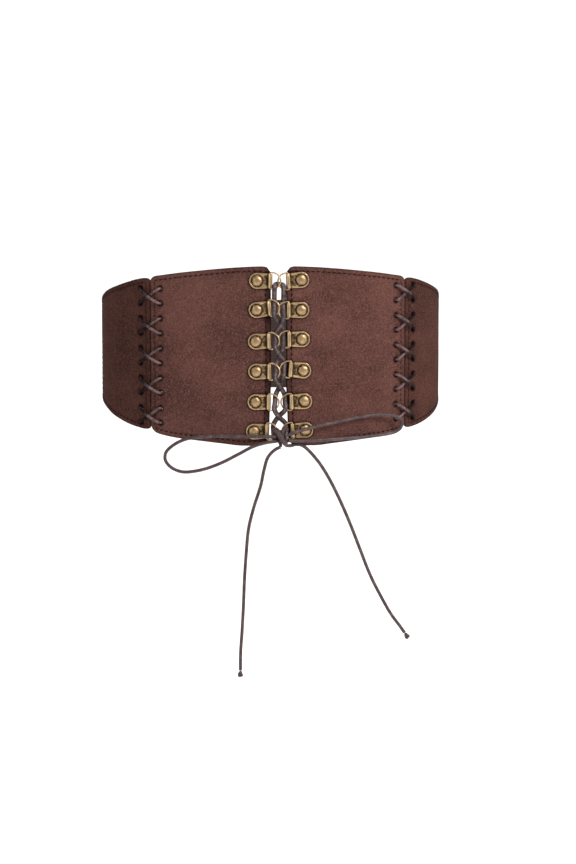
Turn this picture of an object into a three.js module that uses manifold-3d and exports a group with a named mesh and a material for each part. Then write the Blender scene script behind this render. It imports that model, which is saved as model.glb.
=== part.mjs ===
import * as THREE from 'three'
import { mergeVertices } from 'three/addons/utils/BufferGeometryUtils.js'
import Module from 'manifold-3d'

// A corset belt as it sits on a waist. Millimetres, X across the front, the lacing towards -Y, Z up.
// The origin is the middle of the waist opening at half the belt's height.

// Waist curve that the outer faces of the panels follow
const WAIST_HALF_WIDTH = 137
const WAIST_HALF_DEPTH = 97
const WAIST_POWER = 2.4
const CURVE_STEPS = 1440

// Panels
const BELT_HEIGHT = 140
const PANEL_WALL = 2.4
const PANEL_EDGE_BEVEL = 0.6
const TOP_GAP = 11.9
const SEAM_ARC_LEFT = 103.4
const SEAM_ARC_RIGHT = 106.2
const SEAM_GAP = 0.6
const SIDE_END_ARC = 204
const CLEARANCE = 0.3

// Back band
const BAND_HEIGHT = 75
const BAND_WALL = 1.7
const BAND_OVERLAP = 15
const BAND_COLUMNS = 15

// Lace holes beside each seam
const HOLES_PER_COLUMN = 10
const HOLE_TO_SEAM = 9.2
const HOLE_COLUMN_HEIGHT = 0.7514 * BELT_HEIGHT
const HOLE_COLUMN_RISE_LEFT = -0.3
const HOLE_COLUMN_RISE_RIGHT = 1.8
const LACE_HOLE_DIAMETER = 3.8
const HOLE_SIDES = 6

// Cords
const SIDE_CORD_DIAMETER = 2.2
const SIDE_CORD_SIDES = 5
const LACE_DIAMETER = 2.6
const LACE_SIDES = 8
const THREADED_LACE_WIDTH = 3.0
const THREADED_LACE_THICKNESS = 2.0
const THREADED_LACE_SIDES = 6
const TOP_BIGHT_DROP = 3.1

// Ring plates, rivets and D-rings
const PLATE_HEIGHT = 12.2
const PLATE_THICKNESS = 0.7
const PLATE_RIM_WIDTH = 1.0
const PLATE_RIM_RISE = 0.35
const PLATE_LENGTH = 10.2
const KNUCKLE_DIAMETER = 3.5
const KNUCKLE_HEIGHT = 11.2
const KNUCKLE_BORE = 2.15
const RIVET_HEAD_DIAMETER = 9.2
const RIVET_HEAD_RISE = 1.9
const RIVET_STEM_DIAMETER = 2.2
const RIVET_HOLE_DIAMETER = 3.2
const RIVET_TAIL_DIAMETER = 5.2
const RIVET_TAIL_THICKNESS = 0.6
const RING_WIRE_DIAMETER = 1.2
const RING_DEPTH = 8.2
const RING_HEIGHT = 13.0
const RING_SHOULDER = 1.2

// Bow knot. Points of the bow and of the lace's ends are measured sideways from the front centre,
// backwards from the front of the waist and upwards from the belt's bottom edge
const KNOT_CENTRE = [2.9, -7.2, 7.4]
const KNOT_SIZE = [8.4, 6.8, 14.0]
const TAIL_KNOT_SIZE = [4.6, 4.4, 6.0]

// Edges of a front panel, as shares of BELT_HEIGHT / 2.
// columns: share of the arc from the gap to the seam, top edge, bottom edge
const FRONT_EDGES = [
  [0, 0.925, 0.935],
  [0.012, 0.95, 0.955],
  [0.035, 0.988, 0.988],
  [0.07, 0.997, 1],
  [0.2, 0.991, 1],
  [0.38, 0.975, 0.976],
  [0.56, 0.952, 0.949],
  [0.74, 0.926, 0.924],
  [0.9, 0.897, 0.889],
  [0.955, 0.887, 0.866],
  [0.985, 0.868, 0.83],
  [1, 0.838, 0.789],
]

// Edges of a side panel, same shares.
// columns: share of the arc from the seam to the back end, top edge, bottom edge
const SIDE_EDGES = [
  [0, 0.83, 0.8],
  [0.006, 0.846, 0.817],
  [0.022, 0.859, 0.829],
  [0.05, 0.863, 0.832],
  [0.13, 0.849, 0.816],
  [0.23, 0.818, 0.785],
  [0.33, 0.785, 0.746],
  [0.44, 0.75, 0.702],
  [0.56, 0.713, 0.648],
  [0.69, 0.669, 0.6],
  [0.84, 0.626, 0.57],
  [0.94, 0.602, 0.56],
  [0.985, 0.588, 0.546],
  [1, 0.565, 0.523],
]

// Half of the gap between the front panels, as shares of TOP_GAP / 2.
// columns: share of the height from the bottom, width
const GAP_WIDTHS = [
  [0, 1.28],
  [0.19, 1.14],
  [0.34, 0.98],
  [1, 1.0],
]

// Ring plates from the top down. columns: height of the plate as a share of BELT_HEIGHT / 2,
// arc from the front centre to the ring's bar, turn of the plate in its own plane,
// swing of the ring out of the plate's plane
const PLATES = {
  left: [
    [0.837, 6.6, 0, 13],
    [0.514, 7.0, 8, 22],
    [0.164, 7.6, 3, 11],
    [-0.169, 7.4, 0, 12],
    [-0.509, 7.9, 0, 13],
    [-0.839, 9.2, 2, 12],
  ],
  right: [
    [0.847, 7.4, -5, -6],
    [0.513, 7.6, 0, -5],
    [0.189, 8.0, 0, -14],
    [-0.16, 9.0, 5, -6],
    [-0.503, 9.8, -2, -5],
    [-0.826, 10.6, -2, -5],
  ],
}

// Lace beside each pair of rings, from the top down. columns: arc from the front centre to the left strand,
// to the right strand, and to the crossing below the pair, then the side from which the upper strand comes
const LACE_ROWS = [
  [3.8, 3.1, 0, 'none'],
  [3.2, 3.6, 1.4, 'right'],
  [1.5, 3.4, 0.9, 'left'],
  [2.1, 3.7, 1.0, 'left'],
  [2.4, 3.4, -0.1, 'left'],
  [3.8, 4.0, 0, 'none'],
]

// Ends of the lace between the last pair of rings and the bow knot. columns: sideways, backwards, upwards
const LACE_END_LEFT = [
  [-4.2, -4.8, 9.1],
  [-4.1, -6, 6.6],
  [-2.1, -6, 4.9],
]
const LACE_END_RIGHT = [
  [6.2, -3.4, 12.8],
  [5.8, -4.6, 13.4],
]

// Free cord of the bow, points along each centreline. columns: sideways, backwards, upwards
const BOW_LOOP_LEFT = [
  [-2.4, -8.6, 8],
  [-13.5, -7.8, 7.9],
  [-22.2, -6.2, 7.9],
  [-34.3, -4.2, 8.1],
  [-46.5, -1.4, 8.1],
  [-62.1, 2, 7.1],
  [-73.1, 5, 5],
  [-82.1, 7.2, 0.3],
  [-87.7, 8.4, -5.4],
  [-88.3, 8.2, -10.9],
  [-84.3, 6.8, -16.5],
  [-75.5, 4.6, -20.2],
  [-62.2, 1.8, -19],
  [-46.7, -1.4, -13.7],
  [-31.2, -4.4, -5.7],
  [-20, -6.4, 0.3],
  [-10, -8, 3.3],
  [-2.4, -8.6, 4.4],
]
const BOW_LOOP_RIGHT = [
  [7.6, -7.6, 9.4],
  [18, -7, 12.8],
  [31.6, -5.4, 16],
  [49.9, -1.6, 19.4],
  [66.1, 2.4, 22.3],
  [80, 6, 23.5],
  [89.4, 8.4, 22.6],
  [94.8, 9.6, 21.1],
  [98.0, 10.2, 17.2],
  [96.8, 10, 12.6],
  [92.2, 8.8, 9.6],
  [84.7, 7, 8],
  [73.1, 4, 6.8],
  [54.5, -0.6, 5.8],
  [31.6, -4.8, 4.7],
  [20.1, -6.6, 4.4],
  [7.3, -8, 4.7],
]
const LACE_TAIL_LEFT = [
  [0.9, -7.6, -0.2],
  [-3.4, -7.4, -2.4],
  [-8.8, -7, -8.2],
  [-11.9, -6.4, -18.3],
  [-14.4, -6, -30.3],
  [-20, -5.2, -48.3],
  [-23.8, -4.6, -64.1],
  [-25.6, -4, -82.3],
  [-27.1, -3.6, -104.9],
  [-27.8, -3.2, -123.1],
  [-29, -2.8, -145.9],
  [-30.1, -2.6, -161.8],
  [-30.3, -2.5, -176.3],
]
const LACE_TAIL_RIGHT = [
  [5.3, -5.8, 0.7],
  [9.6, -3.6, 0.4],
  [13.7, -2.3, 1.2],
  [19, -2, 0],
  [29.6, -2.6, -10.7],
  [38.5, -3.2, -24.2],
  [47.6, -3.6, -42.3],
  [55.5, -3.6, -60.5],
  [63.5, -3.2, -81],
  [71.6, -2.6, -101.6],
  [79.6, -2, -117.7],
  [88.8, -1.4, -133.9],
  [95.7, -1, -143.2],
  [99.3, -0.8, -148.4],
]

const half = BELT_HEIGHT / 2
const group = new THREE.Group()

function rounded(value, power) {
  return Math.sign(value) * Math.abs(value) ** (2 / power)
}

// Table of the waist curve: arc length from the front centre, towards +X, and the point there
const curve = []
for (let i = 0, arc = 0, last = null; i <= CURVE_STEPS; i += 1) {
  const turn = (2 * Math.PI * i) / CURVE_STEPS
  const x = WAIST_HALF_WIDTH * rounded(Math.sin(turn), WAIST_POWER)
  const y = -WAIST_HALF_DEPTH * rounded(Math.cos(turn), WAIST_POWER)
  arc += last ? Math.hypot(x - last.x, y - last.y) : 0
  last = { arc, x, y }
  curve.push(last)
}
const GIRTH = curve[CURVE_STEPS].arc

function curvePoint(arc) {
  const along = ((arc % GIRTH) + GIRTH) % GIRTH
  let low = 0
  let high = CURVE_STEPS
  while (high - low > 1) {
    const middle = (low + high) >> 1
    if (curve[middle].arc <= along) low = middle
    else high = middle
  }
  const share = (along - curve[low].arc) / (curve[high].arc - curve[low].arc)
  return [
    curve[low].x + share * (curve[high].x - curve[low].x),
    curve[low].y + share * (curve[high].y - curve[low].y),
  ]
}

// A place on the belt: arc from the front centre, height, distance out from the panels' outer face
function place(arc, z, out) {
  const [x, y] = curvePoint(arc)
  const normal = normalAt(arc)
  return new THREE.Vector3(x + normal.x * out, y + normal.y * out, z)
}

function normalAt(arc) {
  const reach = 1.5
  const [x0, y0] = curvePoint(arc - reach)
  const [x1, y1] = curvePoint(arc + reach)
  return new THREE.Vector3(y1 - y0, x0 - x1, 0).normalize()
}

// Row of a table at a share between two of its rows
function lookUp(table, share) {
  let i = 1
  while (i < table.length - 1 && table[i][0] < share) i += 1
  const [before, after] = [table[i - 1], table[i]]
  const t = Math.min(1, Math.max(0, (share - before[0]) / (after[0] - before[0])))
  return before.map((value, column) => value + t * (after[column] - value))
}

function material(color, roughness, metalness) {
  return new THREE.MeshStandardMaterial({ color, roughness, metalness })
}

function addPiece(name, geometry, look) {
  const mesh = new THREE.Mesh(geometry, look)
  mesh.name = name
  group.add(mesh)
}

// Closed body through rings of points that all have the same count, with flat ends unless it closes on itself
function skin(rings, closed = false) {
  const count = rings[0].length
  const positions = rings.flat().flatMap((p) => [p.x, p.y, p.z])
  const faces = []
  const last = closed ? rings.length : rings.length - 1
  for (let i = 0; i < last; i += 1) {
    const a = i * count
    const b = ((i + 1) % rings.length) * count
    for (let j = 0; j < count; j += 1) {
      const k = (j + 1) % count
      faces.push(a + j, b + j, b + k, a + j, b + k, a + k)
    }
  }
  if (!closed) {
    const end = (rings.length - 1) * count
    for (let j = 1; j < count - 1; j += 1) {
      faces.push(0, j, j + 1, end, end + j + 1, end + j)
    }
  }
  const geometry = new THREE.BufferGeometry()
  geometry.setAttribute('position', new THREE.Float32BufferAttribute(positions, 3))
  geometry.setIndex(faces)
  return outward(geometry)
}

// Turns the faces round if the body's volume comes out negative
function outward(geometry) {
  const p = geometry.getAttribute('position')
  const faces = geometry.index.array
  const [a, b, c] = [new THREE.Vector3(), new THREE.Vector3(), new THREE.Vector3()]
  let volume = 0
  for (let i = 0; i < faces.length; i += 3) {
    a.fromBufferAttribute(p, faces[i])
    b.fromBufferAttribute(p, faces[i + 1])
    c.fromBufferAttribute(p, faces[i + 2])
    volume += a.dot(b.cross(c))
  }
  if (volume < 0) {
    for (let i = 0; i < faces.length; i += 3) {
      const swap = faces[i]
      faces[i] = faces[i + 1]
      faces[i + 1] = swap
    }
  }
  geometry.computeVertexNormals()
  return geometry
}

// Round tube along points, its section carried along without twist
function tube(points, diameter, sides, closed = false) {
  const count = points.length
  const ahead = (i) => {
    const before = points[closed ? (i - 1 + count) % count : Math.max(0, i - 1)]
    const after = points[closed ? (i + 1) % count : Math.min(count - 1, i + 1)]
    return after.clone().sub(before).normalize()
  }
  let side = new THREE.Vector3(0, 0, 1).cross(ahead(0))
  if (side.length() < 0.2) side = new THREE.Vector3(0, 1, 0).cross(ahead(0))
  const frames = []
  for (let i = 0; i < count; i += 1) {
    const tangent = ahead(i)
    side = side.clone().addScaledVector(tangent, -side.dot(tangent)).normalize()
    frames.push([side, tangent.clone().cross(side), tangent])
  }
  // The twist left over where a closed tube meets its own start is spread along it
  let spare = 0
  if (closed) {
    const [first, second, tangent] = frames[0]
    const carried = side.clone().addScaledVector(tangent, -side.dot(tangent)).normalize()
    spare = Math.atan2(carried.dot(second), carried.dot(first))
  }
  const rings = frames.map(([first, second], i) => {
    const ring = []
    for (let j = 0; j < sides; j += 1) {
      const angle = (2 * Math.PI * j) / sides - (spare * i) / count
      const p = points[i].clone()
      p.addScaledVector(first, (Math.cos(angle) * diameter) / 2)
      p.addScaledVector(second, (Math.sin(angle) * diameter) / 2)
      ring.push(p)
    }
    return ring
  })
  return skin(rings, closed)
}

// Flattened cord along points, its broad side to the front
function flatTube(points, width, thickness, sides) {
  const front = new THREE.Vector3(0, -1, 0)
  const last = points.length - 1
  return skin(points.map((point, i) => {
    const ahead = points[Math.min(last, i + 1)].clone().sub(points[Math.max(0, i - 1)])
    const broad = ahead.clone().cross(front).normalize()
    const narrow = broad.clone().cross(ahead).normalize()
    const ring = []
    for (let j = 0; j < sides; j += 1) {
      const angle = (2 * Math.PI * j) / sides
      const p = point.clone().addScaledVector(broad, (Math.cos(angle) * width) / 2)
      ring.push(p.addScaledVector(narrow, (Math.sin(angle) * thickness) / 2))
    }
    return ring
  }))
}

function smooth(points, steps) {
  return new THREE.CatmullRomCurve3(points, false, 'centripetal').getSpacedPoints(steps)
}

// Points of the bow, from the front of the waist and the belt's bottom edge
function vectors(table) {
  return table.map(([x, y, z]) => new THREE.Vector3(x, y - WAIST_HALF_DEPTH, z - half))
}

function lump(centre, size, sides) {
  const geometry = new THREE.SphereGeometry(0.5, sides, Math.ceil(sides * 0.6))
  geometry.deleteAttribute('normal')
  geometry.deleteAttribute('uv')
  geometry.rotateX(Math.PI / 2)
  geometry.scale(size[0], size[1], size[2])
  geometry.translate(centre.x, centre.y, centre.z)
  return mergeVertices(geometry, 1e-4)
}

// Closed bodies are cut and joined as solids
const wasm = await Module()
wasm.setup()

function toSolid(geometry) {
  const bare = geometry.clone()
  bare.deleteAttribute('normal')
  bare.deleteAttribute('uv')
  const whole = mergeVertices(bare, 1e-4)
  return new wasm.Manifold(new wasm.Mesh({
    numProp: 3,
    vertProperties: new Float32Array(whole.getAttribute('position').array),
    triVerts: new Uint32Array(whole.index.array),
  }))
}

function toGeometry(solid) {
  const mesh = solid.getMesh()
  const geometry = new THREE.BufferGeometry()
  geometry.setAttribute('position', new THREE.BufferAttribute(new Float32Array(mesh.vertProperties), 3))
  geometry.setIndex(new THREE.BufferAttribute(new Uint32Array(mesh.triVerts), 1))
  geometry.computeVertexNormals()
  return geometry
}

// Round cutter through a panel's wall
function punch(arc, z, diameter) {
  const cutter = new THREE.CylinderGeometry(diameter / 2, diameter / 2, PANEL_WALL * 3, HOLE_SIDES)
  const middle = place(arc, z, -PANEL_WALL / 2)
  const turn = new THREE.Quaternion().setFromUnitVectors(new THREE.Vector3(0, 1, 0), normalAt(arc))
  cutter.applyQuaternion(turn)
  cutter.translate(middle.x, middle.y, middle.z)
  return toSolid(cutter)
}

// Wall between two arcs with bevelled edges. columns holds [share of the arc, top edge, bottom edge],
// arcAt(share, z) the arc, levels the heights of the face, from -1 at the bottom edge to 1 at the top
function wall(columns, arcAt, levels, outFace, thickness) {
  const bevel = Math.min(PANEL_EDGE_BEVEL, thickness / 3)
  const span = Math.abs(arcAt(1, 0) - arcAt(0, 0))
  const ringAt = ([share, top, bottom], slim) => {
    const near = outFace - (slim ? bevel : 0)
    const far = outFace - thickness + (slim ? bevel : 0)
    const rim = slim ? bevel / 3 : bevel
    const heights = levels.map((level) => level * ((level > 0 ? top : bottom) - rim))
    const spots = heights.map((z) => [z, near])
    spots.push([top, near - rim], [top, far + rim])
    spots.push(...[...heights].reverse().map((z) => [z, far]))
    spots.push([-bottom, far + rim], [-bottom, near - rim])
    return spots.map(([z, out]) => place(arcAt(share, z), z, out))
  }
  const rings = columns.map((column, i) => ringAt(column, i === 0 || i === columns.length - 1))
  rings.splice(1, 0, ringAt(lookUp(columns, bevel / span), false))
  rings.splice(-1, 0, ringAt(lookUp(columns, 1 - bevel / span), false))
  return skin(rings)
}

const suede = material(0x67443e, 0.95, 0)
const suedeSide = material(0x4b302c, 0.95, 0)
const elastic = material(0x2e2220, 0.9, 0)
const cord = material(0x4a3a3c, 0.7, 0)
const brass = material(0x96804f, 0.4, 1)

const FACE_LEVELS = [-1, -0.62, -0.32, 1]
const SIDES = { left: -1, right: 1 }
const SEAMS = { left: SEAM_ARC_LEFT, right: SEAM_ARC_RIGHT }
const RISES = { left: HOLE_COLUMN_RISE_LEFT, right: HOLE_COLUMN_RISE_RIGHT }

function holeHeight(side, row) {
  return RISES[side] + HOLE_COLUMN_HEIGHT * (0.5 - row / (HOLES_PER_COLUMN - 1))
}

function plateHeight(side, row) {
  return PLATES[side][row][0] * half
}

// Frame of a ring plate: its rivet's foot on the panel and the axes towards the gap, up and out
function plateFrame(side, row) {
  const sign = SIDES[side]
  const [, barArc, turn] = PLATES[side][row]
  const rivetArc = sign * (barArc + PLATE_LENGTH)
  const out = normalAt(rivetArc)
  const up = new THREE.Vector3(0, 0, 1)
  const inward = up.clone().cross(out).multiplyScalar(-sign)
  const angle = (turn * Math.PI) / 180
  const u = inward.clone().multiplyScalar(Math.cos(angle)).addScaledVector(up, Math.sin(angle))
  const v = up.clone().multiplyScalar(Math.cos(angle)).addScaledVector(inward, -Math.sin(angle))
  const foot = place(rivetArc, plateHeight(side, row), 0)
  return { foot, u, v, out }
}

function inFrame(frame, u, v, out) {
  return frame.foot.clone()
    .addScaledVector(frame.u, u)
    .addScaledVector(frame.v, v)
    .addScaledVector(frame.out, out)
}

// A place beside a D-ring: depth from its bar towards the gap, height along the bar,
// distance out of the ring's plane
function ringPlace(side, row, depth, height, out) {
  const frame = plateFrame(side, row)
  const swing = (PLATES[side][row][3] * Math.PI) / 180
  const reach = depth * Math.cos(swing) - out * Math.sin(swing)
  const lift = depth * Math.sin(swing) + out * Math.cos(swing)
  return inFrame(frame, PLATE_LENGTH + reach, height, KNUCKLE_OUT + lift)
}

const KNUCKLE_OUT = CLEARANCE + KNUCKLE_DIAMETER / 2

// Outline of a plate: a half circle round the rivet, then straight to the knuckle
function plateOutline(radius, halfHeight, end) {
  const steps = 6
  const points = []
  for (let i = 0; i <= steps; i += 1) {
    const angle = Math.PI / 2 + (Math.PI * i) / steps
    points.push([Math.cos(angle) * radius, Math.sin(angle) * radius])
  }
  points.push([end, -halfHeight], [end, halfHeight])
  return points
}

// Round body along a plate's upright axis, on the axis of its knuckle
function knuckleRound(frame, diameter, sides, height) {
  return toSolid(skin([-height / 2, height / 2].map((v) => {
    const ring = []
    for (let j = 0; j < sides; j += 1) {
      const angle = (2 * Math.PI * (j + 0.5)) / sides
      const u = PLATE_LENGTH + Math.cos(angle) * (diameter / 2)
      ring.push(inFrame(frame, u, v, KNUCKLE_OUT + Math.sin(angle) * (diameter / 2)))
    }
    return ring
  })))
}

// Stamped leaf with a raised rim round a sunk field, rolled into a knuckle over the ring's bar
function ringPlate(frame) {
  const radius = PLATE_HEIGHT / 2
  const field = radius - PLATE_RIM_WIDTH
  const fieldTop = CLEARANCE + PLATE_THICKNESS
  const rimTop = fieldTop + PLATE_RIM_RISE
  const outer = plateOutline(radius, KNUCKLE_HEIGHT / 2, PLATE_LENGTH)
  const inner = plateOutline(field, field, PLATE_LENGTH - KNUCKLE_DIAMETER / 4)
  const levels = [[outer, CLEARANCE], [outer, rimTop], [inner, rimTop], [inner, fieldTop]]
  const leaf = skin(levels.map(([outline, out]) => outline.map(([u, v]) => inFrame(frame, u, v, out))))
  const knuckle = knuckleRound(frame, KNUCKLE_DIAMETER, 10, KNUCKLE_HEIGHT)
  const bore = knuckleRound(frame, KNUCKLE_BORE, 6, PLATE_HEIGHT)
  const holeOutline = []
  for (let j = 0; j < HOLE_SIDES; j += 1) {
    const angle = (2 * Math.PI * j) / HOLE_SIDES
    const radiusHere = RIVET_HOLE_DIAMETER / 2
    holeOutline.push([Math.cos(angle) * radiusHere, Math.sin(angle) * radiusHere])
  }
  const hole = skin([0, rimTop].map((out) => holeOutline.map(([u, v]) => inFrame(frame, u, v, out))))
  return toGeometry(toSolid(leaf).add(knuckle).subtract(bore).subtract(toSolid(hole)))
}

// Domed head, stem through plate and panel, flat tail on the inside
function rivet(frame) {
  const seat = CLEARANCE * 2 + PLATE_THICKNESS
  const head = RIVET_HEAD_DIAMETER / 2
  const stem = RIVET_STEM_DIAMETER / 2
  const tail = RIVET_TAIL_DIAMETER / 2
  const tailTop = -PANEL_WALL - CLEARANCE - 0.1
  const profile = [
    [0, seat + RIVET_HEAD_RISE],
    [head * 0.72, seat + RIVET_HEAD_RISE * 0.76],
    [head, seat],
    [stem, seat],
    [stem, tailTop],
    [tail, tailTop],
    [tail, tailTop - RIVET_TAIL_THICKNESS],
    [0, tailTop - RIVET_TAIL_THICKNESS],
  ].map(([r, h]) => new THREE.Vector2(r, h))
  const geometry = new THREE.LatheGeometry(profile, 7)
  geometry.deleteAttribute('normal')
  geometry.deleteAttribute('uv')
  const turn = new THREE.Quaternion().setFromUnitVectors(new THREE.Vector3(0, 1, 0), frame.out)
  geometry.applyQuaternion(turn)
  geometry.translate(frame.foot.x, frame.foot.y, frame.foot.z)
  return outward(mergeVertices(geometry, 1e-4))
}

// D of round wire: its bar in the plate's knuckle, its bow towards the middle of the gap
function dRing(side, row) {
  const shoulder = RING_HEIGHT / 2
  const points = []
  for (const share of [-0.95, 0.95]) points.push(ringPlace(side, row, 0, share * shoulder, 0))
  const bowSteps = 8
  for (let i = 0; i <= bowSteps; i += 1) {
    const angle = Math.PI / 2 - (Math.PI * i) / bowSteps
    const depth = RING_SHOULDER + Math.cos(angle) * (RING_DEPTH - RING_SHOULDER)
    points.push(ringPlace(side, row, depth, Math.sin(angle) * shoulder, 0))
  }
  return tube(points, RING_WIRE_DIAMETER, 5, true)
}

// Where the lace passes a ring: depth from the bar, and the height at which the bow's wire crosses that depth
function bight(side, row) {
  const nearest = (KNUCKLE_DIAMETER + THREADED_LACE_WIDTH) / 2 + CLEARANCE
  const deepest = RING_DEPTH - (RING_WIRE_DIAMETER + THREADED_LACE_WIDTH) / 2 - 2 * CLEARANCE
  const strandArc = LACE_ROWS[row][side === 'left' ? 0 : 1]
  const depth = Math.min(deepest, Math.max(nearest, PLATES[side][row][1] - strandArc))
  const along = (depth - RING_SHOULDER) / (RING_DEPTH - RING_SHOULDER)
  return [depth, (RING_HEIGHT / 2) * Math.sqrt(1 - along ** 2)]
}

// Lace threaded through the rings from the top pair down, crossing below each pair but the first and the last
function frontLace() {
  const reach = (RING_WIRE_DIAMETER + THREADED_LACE_THICKNESS) / 2 + 2.4 * CLEARANCE
  const ends = { left: LACE_END_LEFT, right: LACE_END_RIGHT }
  const strand = (start) => {
    const points = []
    let side = start
    LACE_ROWS.forEach(([, , crossArc, over], row) => {
      const [depth, height] = bight(side, row)
      if (row > 0) points.push(ringPlace(side, row, depth, height, -reach))
      points.push(ringPlace(side, row, depth, row > 0 ? 0 : -TOP_BIGHT_DROP, 0))
      if (row === LACE_ROWS.length - 1) return
      points.push(ringPlace(side, row, depth, -height, reach))
      if (over === 'none') return
      const other = side === 'left' ? 'right' : 'left'
      const [nextDepth, nextHeight] = bight(other, row + 1)
      const from = ringPlace(side, row, depth, -height, 0)
      const to = ringPlace(other, row + 1, nextDepth, nextHeight, 0)
      const middle = from.add(to).multiplyScalar(0.5)
      middle.x = crossArc
      middle.y += (over === side ? -0.75 : 0.75) * THREADED_LACE_THICKNESS
      points.push(middle)
      side = other
    })
    return [...points, ...vectors(ends[side])]
  }
  const top = Object.keys(SIDES).map((side) => {
    const [depth] = bight(side, 0)
    return ringPlace(side, 0, depth + THREADED_LACE_WIDTH / 4, 0.6 - TOP_BIGHT_DROP, -reach)
  })
  const arch = top[0].clone().add(top[1]).multiplyScalar(0.5)
  arch.y += THREADED_LACE_THICKNESS / 2
  const route = [...strand('left').reverse(), top[0], arch, top[1], ...strand('right')]
  return flatTube(smooth(route, 86), THREADED_LACE_WIDTH, THREADED_LACE_THICKNESS, THREADED_LACE_SIDES)
}

// Lacing of one seam: crosses on the outside, upright runs on the inside, one closed cord
function sideLace(side) {
  const sign = SIDES[side]
  const inner = SEAMS[side] - HOLE_TO_SEAM
  const outer = SEAMS[side] + HOLE_TO_SEAM
  const stops = []
  for (let row = 0; row < HOLES_PER_COLUMN; row += 1) {
    stops.push([(row >> 1) % 2 === row % 2 ? inner : outer, row])
  }
  for (let row = HOLES_PER_COLUMN - 1; row >= 0; row -= 1) {
    stops.push([(row >> 1) % 2 === row % 2 ? outer : inner, row])
  }
  const rise = SIDE_CORD_DIAMETER / 2 + CLEARANCE + 0.15
  const lean = 0.9
  const count = stops.length
  const points = []
  stops.forEach(([arc, row], i) => {
    const z = holeHeight(side, row)
    const [nextArc, nextRow] = stops[(i + 1) % count]
    const [lastArc, lastRow] = stops[(i + count - 1) % count]
    const leanTo = (otherArc, otherRow) => {
      const da = otherArc - arc
      const dz = holeHeight(side, otherRow) - z
      const length = Math.hypot(da, dz)
      return [arc + (da / length) * lean, z + (dz / length) * lean]
    }
    const goesOut = i % 2 === 0
    const [frontArc, frontZ] = goesOut ? leanTo(nextArc, nextRow) : leanTo(lastArc, lastRow)
    const [backArc, backZ] = goesOut ? leanTo(lastArc, lastRow) : leanTo(nextArc, nextRow)
    const front = place(sign * frontArc, frontZ, rise)
    const back = place(sign * backArc, backZ, -PANEL_WALL - rise)
    const through = place(sign * arc, z, -PANEL_WALL / 2)
    points.push(...(goesOut ? [back, through, front] : [front, through, back]))
    if (!goesOut) return
    // The strand that falls from left to right, as it is seen, lies on the other
    const falls = sign * (nextArc - arc) * (nextRow - row) > 0
    const lift = falls ? rise + SIDE_CORD_DIAMETER + 2 * CLEARANCE : rise
    for (const share of falls ? [0.3, 0.7] : [0.5]) {
      const out = falls ? lift - 0.2 : lift
      const height = z + share * (holeHeight(side, nextRow) - z)
      points.push(place(sign * (arc + share * (nextArc - arc)), height, out))
    }
  })
  return tube(points, SIDE_CORD_DIAMETER, SIDE_CORD_SIDES, true)
}

// Panels
const toHeights = (edges) => edges.map(([share, top, bottom]) => [share, top * half, bottom * half])
for (const [side, sign] of Object.entries(SIDES)) {
  const seam = SEAMS[side]
  const frontEnd = seam - SEAM_GAP / 2
  const sideStart = seam + SEAM_GAP / 2
  const gapArc = (z) => (TOP_GAP / 2) * lookUp(GAP_WIDTHS, (z + half) / BELT_HEIGHT)[1]
  const frontArc = (share, z) => sign * (gapArc(z) + share * (frontEnd - gapArc(z)))
  const sideArc = (share) => sign * (sideStart + share * (SIDE_END_ARC - sideStart))
  let front = toSolid(wall(toHeights(FRONT_EDGES), frontArc, FACE_LEVELS, 0, PANEL_WALL))
  let rear = toSolid(wall(toHeights(SIDE_EDGES), sideArc, [-1, 1], 0, PANEL_WALL))
  for (let row = 0; row < HOLES_PER_COLUMN; row += 1) {
    front = front.subtract(punch(sign * (seam - HOLE_TO_SEAM), holeHeight(side, row), LACE_HOLE_DIAMETER))
    rear = rear.subtract(punch(sign * (seam + HOLE_TO_SEAM), holeHeight(side, row), LACE_HOLE_DIAMETER))
  }
  PLATES[side].forEach(([, barArc], row) => {
    const rivetArc = sign * (barArc + PLATE_LENGTH)
    front = front.subtract(punch(rivetArc, plateHeight(side, row), RIVET_HOLE_DIAMETER))
  })
  addPiece(`front_panel_${side}`, toGeometry(front), suede)
  addPiece(`side_panel_${side}`, toGeometry(rear), suedeSide)
  addPiece(`side_lace_${side}`, sideLace(side), cord)
}

// Back band, inside the ends of the side panels
const bandStart = SIDE_END_ARC - BAND_OVERLAP
const bandColumns = []
for (let i = 0; i < BAND_COLUMNS; i += 1) {
  bandColumns.push([i / (BAND_COLUMNS - 1), BAND_HEIGHT / 2, BAND_HEIGHT / 2])
}
const bandArc = (share) => bandStart + share * (GIRTH - 2 * bandStart)
addPiece('back_band', wall(bandColumns, bandArc, [-1, 1], -PANEL_WALL - CLEARANCE, BAND_WALL), elastic)

// Ring plates, rivets and rings
for (const side of Object.keys(SIDES)) {
  PLATES[side].forEach((_, row) => {
    const frame = plateFrame(side, row)
    addPiece(`ring_plate_${side}_${row + 1}`, ringPlate(frame), brass)
    addPiece(`rivet_${side}_${row + 1}`, rivet(frame), brass)
    addPiece(`d_ring_${side}_${row + 1}`, dRing(side, row), brass)
  })
}

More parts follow.
